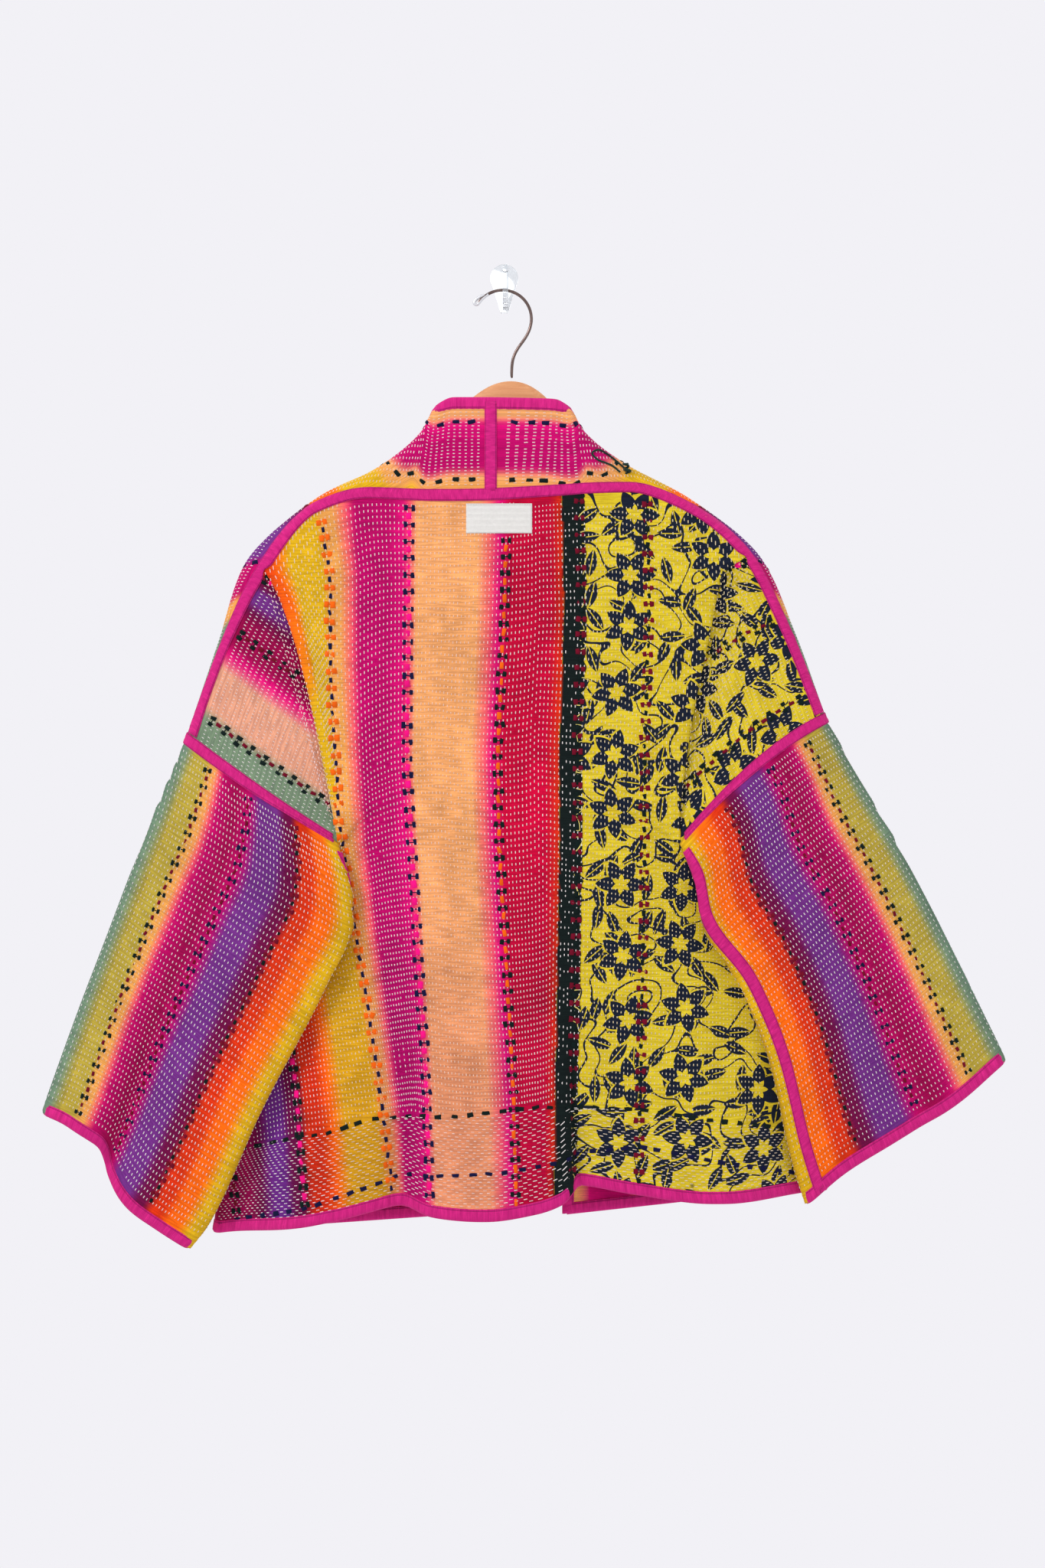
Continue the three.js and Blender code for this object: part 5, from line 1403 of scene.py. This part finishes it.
def contour(grid, normal, values, target):
    """Line over a grid's columns where a value falls to the target."""
    line = np.full((grid.shape[1], 3), np.nan)
    facing = np.full_like(line, np.nan)
    index = np.arange(grid.shape[0])
    for j in range(grid.shape[1]):
        order = np.argsort(values[:, j], kind="stable")
        place = np.interp(target, values[order, j], index[order], left=np.nan, right=np.nan)
        if np.isfinite(place):
            line[j] = at_places(grid[:, j], np.array([place]))[0]
            facing[j] = at_places(normal[:, j], np.array([place]))[0]
    return line, facing


# Lines of crosses: place on the cloth, ink of the pairs, ink of the singles
BACK_LINES = [(305, "green", "dark_red"), (233, "green", "hot_pink"), (150, "orange", "navy"),
              (77, "navy", "hot_pink"), (-11.5, "green", "orange"), (-83, "dark_red", "green"),
              (-146, "dark_red", "green")]
WING_LINES = [(233, "green", "hot_pink"), (305, "green", "dark_red"), (389, "green", "dark_red")]
SLEEVE_LINES = [(0.175, "green", "dark_red"), (0.43, "navy", "dark_red"), (0.715, "dark_red", "green")]
# Lines of dashes on a front: distance from its free edge, ink
FRONT_LINES = [(22, "navy"), (76, "green"), (155, "dark_red"), (205, "navy")]
# X and z of the lower dashed line along the back's hem
HEM_LINE = [(-277, -908), (-241, -898.6), (-181.4, -882.7), (-149, -871), (-95.8, -854), (1.4, -850),
            (44.6, -842.4), (80, -832), (129.6, -827), (221.8, -844.6), (300, -862)]

pads = {name: Pads() for name in stitches}
face, normal = back_body_sheet["face"], back_body_sheet["normal"]
for place, pair, single in BACK_LINES:
    line, facing, _ = columns_at(face[:, inner], normal[:, inner], back_s[:, inner], np.array([place]),
                                 back_rows[:, inner])
    crosses(pads["back"], line[0, 3:-4], facing[0, 3:-4], pair, single, 5.0)
for table, ink in ((BORDER_LINE, "green"), (HEM_LINE, "navy")):
    height = face[..., 2] - np.interp(face[..., 0], *np.array(table).T)
    line, facing = contour(face[:, 8:-8], normal[:, 8:-8], height[:, 8:-8], 0.0)
    dashes(pads["back"], line, facing, ink)
for half in (LEFT, RIGHT):
    side = half["name"]
    fan, parts, arm = wings[side], fronts[side], sleeves[side]
    for place, pair, single in WING_LINES:
        row = int(np.argmin(np.abs(wing_places(half) - (place - WING_START) / WING_SPAN)))
        crosses(pads["back"], fan["face"][row, 3:], fan["normal"][row, 3:], pair, single, 6.0)
    for target, ink in FRONT_LINES:
        line, facing = contour(parts["over"]["face"], parts["over"]["normal"], parts["e_over"], target)
        dashes(pads[f"front_{side}"], line[3:], facing[3:], ink)
        rear = parts["rear"]
        line, facing, _ = columns_at(rear["face"], rear["normal"], parts["e_rear"], np.array([target]),
                                     parts["row_phase"])
        dashes(pads[f"front_{side}"], line[0, 4:-4], facing[0, 4:-4], ink)
    for share, pair, single in SLEEVE_LINES:
        for way in (-1, 1):
            value = arm["q"] + 4 * (np.sign(np.gradient(arm["q"], axis=1)) != -way)
            line, facing, _ = columns_at(arm["face"], arm["normal"], value, np.array([share]), arm["phase"])
            crosses(pads[f"sleeve_{side}"], line[0, 2:-4], facing[0, 2:-4], pair, single, 7.0, 0.82)
for name, made in pads.items():
    pad = made.make(f"thick_stitches_{name}", THREAD_LOOK)

# Label, thread, hanger and wall hook


def surface_tree(grid):
    corners = [Vector(p) for p in (grid * MM).reshape(-1, 3)]
    return BVHTree.FromPolygons(corners, grid_faces(*grid.shape[:2], 0, False).tolist())


def seen_at(tree, x, z):
    hit, facing, _, _ = tree.ray_cast(Vector((x * MM, -1, z * MM)), Vector((0, 1, 0)))
    if facing.y > 0:
        facing = -facing
    return np.array(hit) / MM, np.array(facing)


def label_material():
    made, n, shader = material("label_cloth", 0.7, "label_cloth", 0.1)
    s, t, _ = n.split(n.attribute("weave").outputs["Vector"])
    cloud = n.noise(n.vector(s, t), 0.35, 3.0)
    rib = n.math("SINE", n.times(t, 2 * math.pi / 0.5))
    n.link(n.mix(cloud, srgb(222, 220, 214), srgb(240, 238, 232)), shader.inputs["Base Color"])
    n.bump(n.plus(woven(n, s, t), rib), 0.00008, 0.8, shader)
    return made


tree = surface_tree(back_grid)
LABEL_COLUMNS, LABEL_ROWS = 41, 21
LABEL_HEM_IN, LABEL_STITCH, LABEL_STITCH_STEP = 1.2, 1.5, 2.4
label_x = np.linspace(LABEL["left"], LABEL["right"], LABEL_COLUMNS)
label_z = np.linspace(LABEL["top"], LABEL["bottom"], LABEL_ROWS)
label = np.array([[seen_at(tree, x, z)[0] for x in label_x] for z in label_z])
u, v = np.meshgrid(np.linspace(-1, 1, LABEL_COLUMNS), np.linspace(-1, 1, LABEL_ROWS))
swell = 0.35 * (1 - u ** 8) * (1 - v ** 8) + 0.12 * np.sin(u * 9 + v * 2) * (1 - v ** 2)
label[..., 1] -= HALF + RELIEF + 0.15 + swell
label_weave = weave_of(label[..., 0], label[..., 2])
label_faces = grid_faces(LABEL_ROWS, LABEL_COLUMNS, 0, False)
label_piece = mesh_object("label_blank", label.reshape(-1, 3), label_faces, label_material(),
                          weave=label_weave.reshape(-1, 3))
thicken(label_piece, LABEL_THICK)
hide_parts("label")
hems = Bars()
for z_line in (label_z[0] - LABEL_HEM_IN, label_z[-1] + LABEL_HEM_IN):
    starts = np.arange(LABEL["left"] + 1.5, LABEL["right"] - 2.5, LABEL_STITCH_STEP)
    first = np.stack([starts, np.interp(starts, label_x, label[10, :, 1]) - 0.02, 0 * starts + z_line], -1)
    last = first + np.array([LABEL_STITCH, 0, 0])
    hems.add(first, last, np.broadcast_to([0.0, -1.0, 0.0], first.shape), 0.35, 0.25, srgb(226, 222, 214))
label_stitches = hems.make("label_stitches", THREAD_LOOK)

# X and z of the thread tail, which lies on the cloth
THREAD_PATH = [(113.8, -192.5), (108.6, -188), (103, -183), (95.5, -177.5), (88.3, -174.5),
               (82.7, -178), (88.8, -184), (95, -186.5), (102, -190), (109, -195.5)]
THREAD_RADIUS = 0.9


def spline_through(points, count):
    points = np.asarray(points, float)
    padded = np.concatenate([[2 * points[0] - points[1]], points, [2 * points[-1] - points[-2]]])
    place = np.linspace(0, len(points) - 1, count)
    i = np.clip(place.astype(int), 0, len(points) - 2)
    f = (place - i)[:, None]
    a, b, c, d = (padded[i + k] for k in range(4))
    return cubic((a, b, c, d), f)


def thread_curve(name, points, radius, look):
    data = bpy.data.curves.new(name, "CURVE")
    data.dimensions = "3D"
    data.bevel_depth = radius * MM
    data.bevel_resolution = 3
    data.use_fill_caps = True
    spline = data.splines.new("POLY")
    spline.points.add(len(points) - 1)
    for point, place in zip(spline.points, points):
        point.co = (*(place * MM), 1)
    obj = bpy.data.objects.new(name, data)
    bpy.context.scene.collection.objects.link(obj)
    data.materials.append(look)
    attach(obj, "root")
    return obj


def dark_thread_material():
    made, n, shader = material("green_thread", 0.85, "thread", 0.15)
    place = n.place()
    twist = n.noise(place, 1500, 2.0)
    n.link(n.mix(twist, srgb(8, 22, 18), srgb(30, 62, 50)), shader.inputs["Base Color"])
    n.bump(twist, 0.0003, 0.9, shader)
    return made


GREEN_THREAD = dark_thread_material()
over_right = fronts["right"]["over"]
tree = surface_tree(over_right["face"])
on_cloth = []
for x, z in THREAD_PATH:
    hit, facing = seen_at(tree, x, z)
    on_cloth.append(hit + facing * (THREAD_RADIUS + 0.25))
thread_line = spline_through(on_cloth, 73)
tail = thread_curve("thread_tail_green", thread_line, THREAD_RADIUS, GREEN_THREAD)
KNOT_TURNS, KNOT_SWAYS, KNOT_RADIUS, KNOT_LENGTH = 3.5, 1.5, 1.15, 9.0
KNOT_WIDE, KNOT_DEEP, KNOT_SWAY = 2.1, 1.5, 1.2
share = np.linspace(0, 1, 70)
knot_at = on_cloth[0]
knot_path = np.stack([
    knot_at[0] + 1.0 + 3.0 * (share - 0.4) + KNOT_WIDE * np.cos(share * 2 * math.pi * KNOT_TURNS),
    knot_at[1] - 1.2 + KNOT_DEEP * np.sin(share * 2 * math.pi * KNOT_TURNS),
    knot_at[2] + 4.4 - KNOT_LENGTH * share + KNOT_SWAY * np.sin(share * 2 * math.pi * KNOT_SWAYS),
], -1)
knot = thread_curve("thread_knot", knot_path, KNOT_RADIUS, GREEN_THREAD)
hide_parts("thread_tail")


def beech_material():
    made, n, shader = material("beech", 0.42, "beech")
    place = n.split(n.place())
    x, y, z = (n.times(place[k], 1000.0) for k in range(3))
    bend = n.noise(n.vector(n.times(x, 0.01), y, n.times(z, 0.03)), 0.6, 3.0)
    grain = n.noise(n.vector(n.times(x, 0.025), n.times(y, 0.5),
                             n.plus(n.times(z, 0.55), n.times(bend, 5.0))), 1.0, 4.0)
    flecks = n.noise(n.vector(n.times(x, 0.35), y, n.times(z, 2.4)), 1.0, 2.0)
    base = n.mix(grain, srgb(190, 116, 62), srgb(232, 172, 118))
    n.link(n.mix(0.35, base, n.mix(flecks, (0.7, 0.66, 0.6), (1.2, 1.2, 1.2)), "MULTIPLY"),
           shader.inputs["Base Color"])
    shader.inputs["Coat Weight"].default_value = 0.25
    shader.inputs["Coat Roughness"].default_value = 0.25
    n.bump(n.plus(grain, n.times(flecks, 0.3)), 0.0002, 0.35, shader)
    return made


def wire_material():
    made, n, shader = material("wire", 0.24, "wire")
    shader.inputs["Metallic"].default_value = 1
    place = n.place()
    cloud = n.noise(place, 90, 3.0)
    n.link(n.mix(cloud, srgb(74, 58, 54), srgb(138, 120, 114)), shader.inputs["Base Color"])
    n.link(n.plus(n.times(cloud, 0.2), 0.14), shader.inputs["Roughness"])
    n.bump(n.noise(place, 700, 2.0), 0.0001, 0.2, shader)
    return made


def clear_material():
    made, n, shader = material("clear_plastic", 0.08, "clear_plastic")
    shader.inputs["Transmission Weight"].default_value = 0.82
    shader.inputs["IOR"].default_value = 1.47
    place = n.place()
    cloud = n.noise(place, 60, 2.0)
    n.link(n.mix(cloud, srgb(232, 238, 240), srgb(246, 248, 250)), shader.inputs["Base Color"])
    n.link(n.plus(n.times(cloud, 0.08), 0.04), shader.inputs["Roughness"])
    n.bump(cloud, 0.0003, 0.15, shader)
    return made


def finer(name, node, look, level, bevel):
    """A smooth piece in place of a plain node, made from the node's own shape."""
    mesh = bmesh.new()
    mesh.from_mesh(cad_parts[node].data)
    bmesh.ops.remove_doubles(mesh, verts=mesh.verts, dist=0.00001)
    bmesh.ops.join_triangles(mesh, faces=mesh.faces, angle_face_threshold=0.6, angle_shape_threshold=1.2,
                             cmp_seam=False, cmp_sharp=False, cmp_uvs=False, cmp_vcols=False,
                             cmp_materials=False)
    for f in mesh.faces:
        f.smooth = True
    data = bpy.data.meshes.new(name)
    mesh.to_mesh(data)
    mesh.free()
    data.materials.append(look)
    obj = bpy.data.objects.new(name, data)
    obj.matrix_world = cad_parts[node].matrix_world
    bpy.context.scene.collection.objects.link(obj)
    if bevel:
        round_edges = obj.modifiers.new("bevel", "BEVEL")
        round_edges.width = bevel * MM
        round_edges.segments = 3
        round_edges.limit_method = "ANGLE"
        round_edges.harden_normals = False
    if level:
        fine = obj.modifiers.new("smooth", "SUBSURF")
        fine.levels = level
        fine.render_levels = level
    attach(obj, "root")
    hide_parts(node)
    return obj


finer("hanger_body", "hanger_wood", beech_material(), 2, 0)
finer("hanger_wire", "hanger_hook", wire_material(), 1, 0)
# X and z of the wire's end, bent back on itself
WIRE_LOOP = [(-15, -22.6), (-20.5, -27), (-24.4, -31.7), (-26.8, -32.6), (-28.2, -30.8), (-26.6, -28),
             (-23, -25.4), (-18.8, -23.4)]
loop_line = spline_through([(x, HANG_Y, z) for x, z in WIRE_LOOP], 60)
wire_loop = thread_curve("hanger_wire_loop", loop_line, 1.5, bpy.data.materials["wire"])
finer("wall_hook_clear", "wall_hook", clear_material(), 0, 0.7)

# The piece of cloth that each tape belongs to
TAPE_OWNERS = {"tape_neck_shoulder": "back", "tape_hem_back": "back", "tape_centre_back": "front_left",
               "tape_front_collar": "front_right"}
for side in ("left", "right"):
    for part, owner in (("armhole", "sleeve"), ("underarm", "sleeve"), ("cuff", "sleeve"), ("hem", "front")):
        TAPE_OWNERS[f"tape_{part}_{side}"] = f"{owner}_{side}"
    TAPE_OWNERS[f"tape_side_{side}"] = "back"

for name, obj in pieces.items():
    kind = name.replace("cloth_", "")
    own = [stitch_pieces[kind], bpy.data.objects[f"thick_stitches_{kind}"]]
    own += [tape for tape in tapes if TAPE_OWNERS[tape.name] == kind]
    if kind == "back":
        own += [label_piece, label_stitches]


# Camera and light


LENS, SENSOR = 41.5, 36
CAMERA_PLACE = (0.0176, -1.745, -0.4874)
FLOOR_SIZE, FLOOR_Z = 40, -1.7
# Place, size and power of each light, all aimed at the middle of the jacket
AIM = (0, 0, -0.5)
LIGHTS = {
    "key": ((-1.6, -1.5, 1.2), 0.8, 30),
    "fill": ((1.8, -2.2, 0.2), 1.6, 4),
    "rear": ((0.4, 2.4, 1.2), 1.6, 8),
}

camera_data = bpy.data.cameras.new("camera")
camera_data.lens = LENS
camera_data.sensor_width = SENSOR
camera = bpy.data.objects.new("camera", camera_data)
camera.location = CAMERA_PLACE
camera.rotation_euler = (math.radians(90), 0, 0)
bpy.context.scene.collection.objects.link(camera)
bpy.context.scene.camera = camera

WALL_TONE = srgb(242, 241, 246)
world = bpy.data.worlds.new("studio")
bpy.context.scene.world = world
world.use_nodes = True
world.node_tree.nodes["Background"].inputs[0].default_value = (*WALL_TONE, 1)

floor_look = bpy.data.materials.new("floor")
floor_look.use_nodes = True
floor_shader = floor_look.node_tree.nodes["Principled BSDF"]
floor_shader.inputs["Base Color"].default_value = (0, 0, 0, 1)
floor_shader.inputs["Specular IOR Level"].default_value = 0
floor_shader.inputs["Emission Color"].default_value = (*WALL_TONE, 1)
floor_shader.inputs["Emission Strength"].default_value = 1
bpy.ops.mesh.primitive_plane_add(size=FLOOR_SIZE, location=(0, 0, FLOOR_Z))
floor = bpy.context.active_object
floor.name = "floor"
floor.data.materials.append(floor_look)


def area_light(name, place, size, power):
    data = bpy.data.lights.new(name, "AREA")
    data.shape = "DISK"
    data.size = size
    data.energy = power
    light = bpy.data.objects.new(name, data)
    light.location = place
    light.rotation_euler = (Vector(AIM) - Vector(place)).to_track_quat("-Z", "Y").to_euler()
    bpy.context.scene.collection.objects.link(light)


for name, settings in LIGHTS.items():
    area_light(name, *settings)
bpy.context.scene.view_settings.view_transform = "Standard"
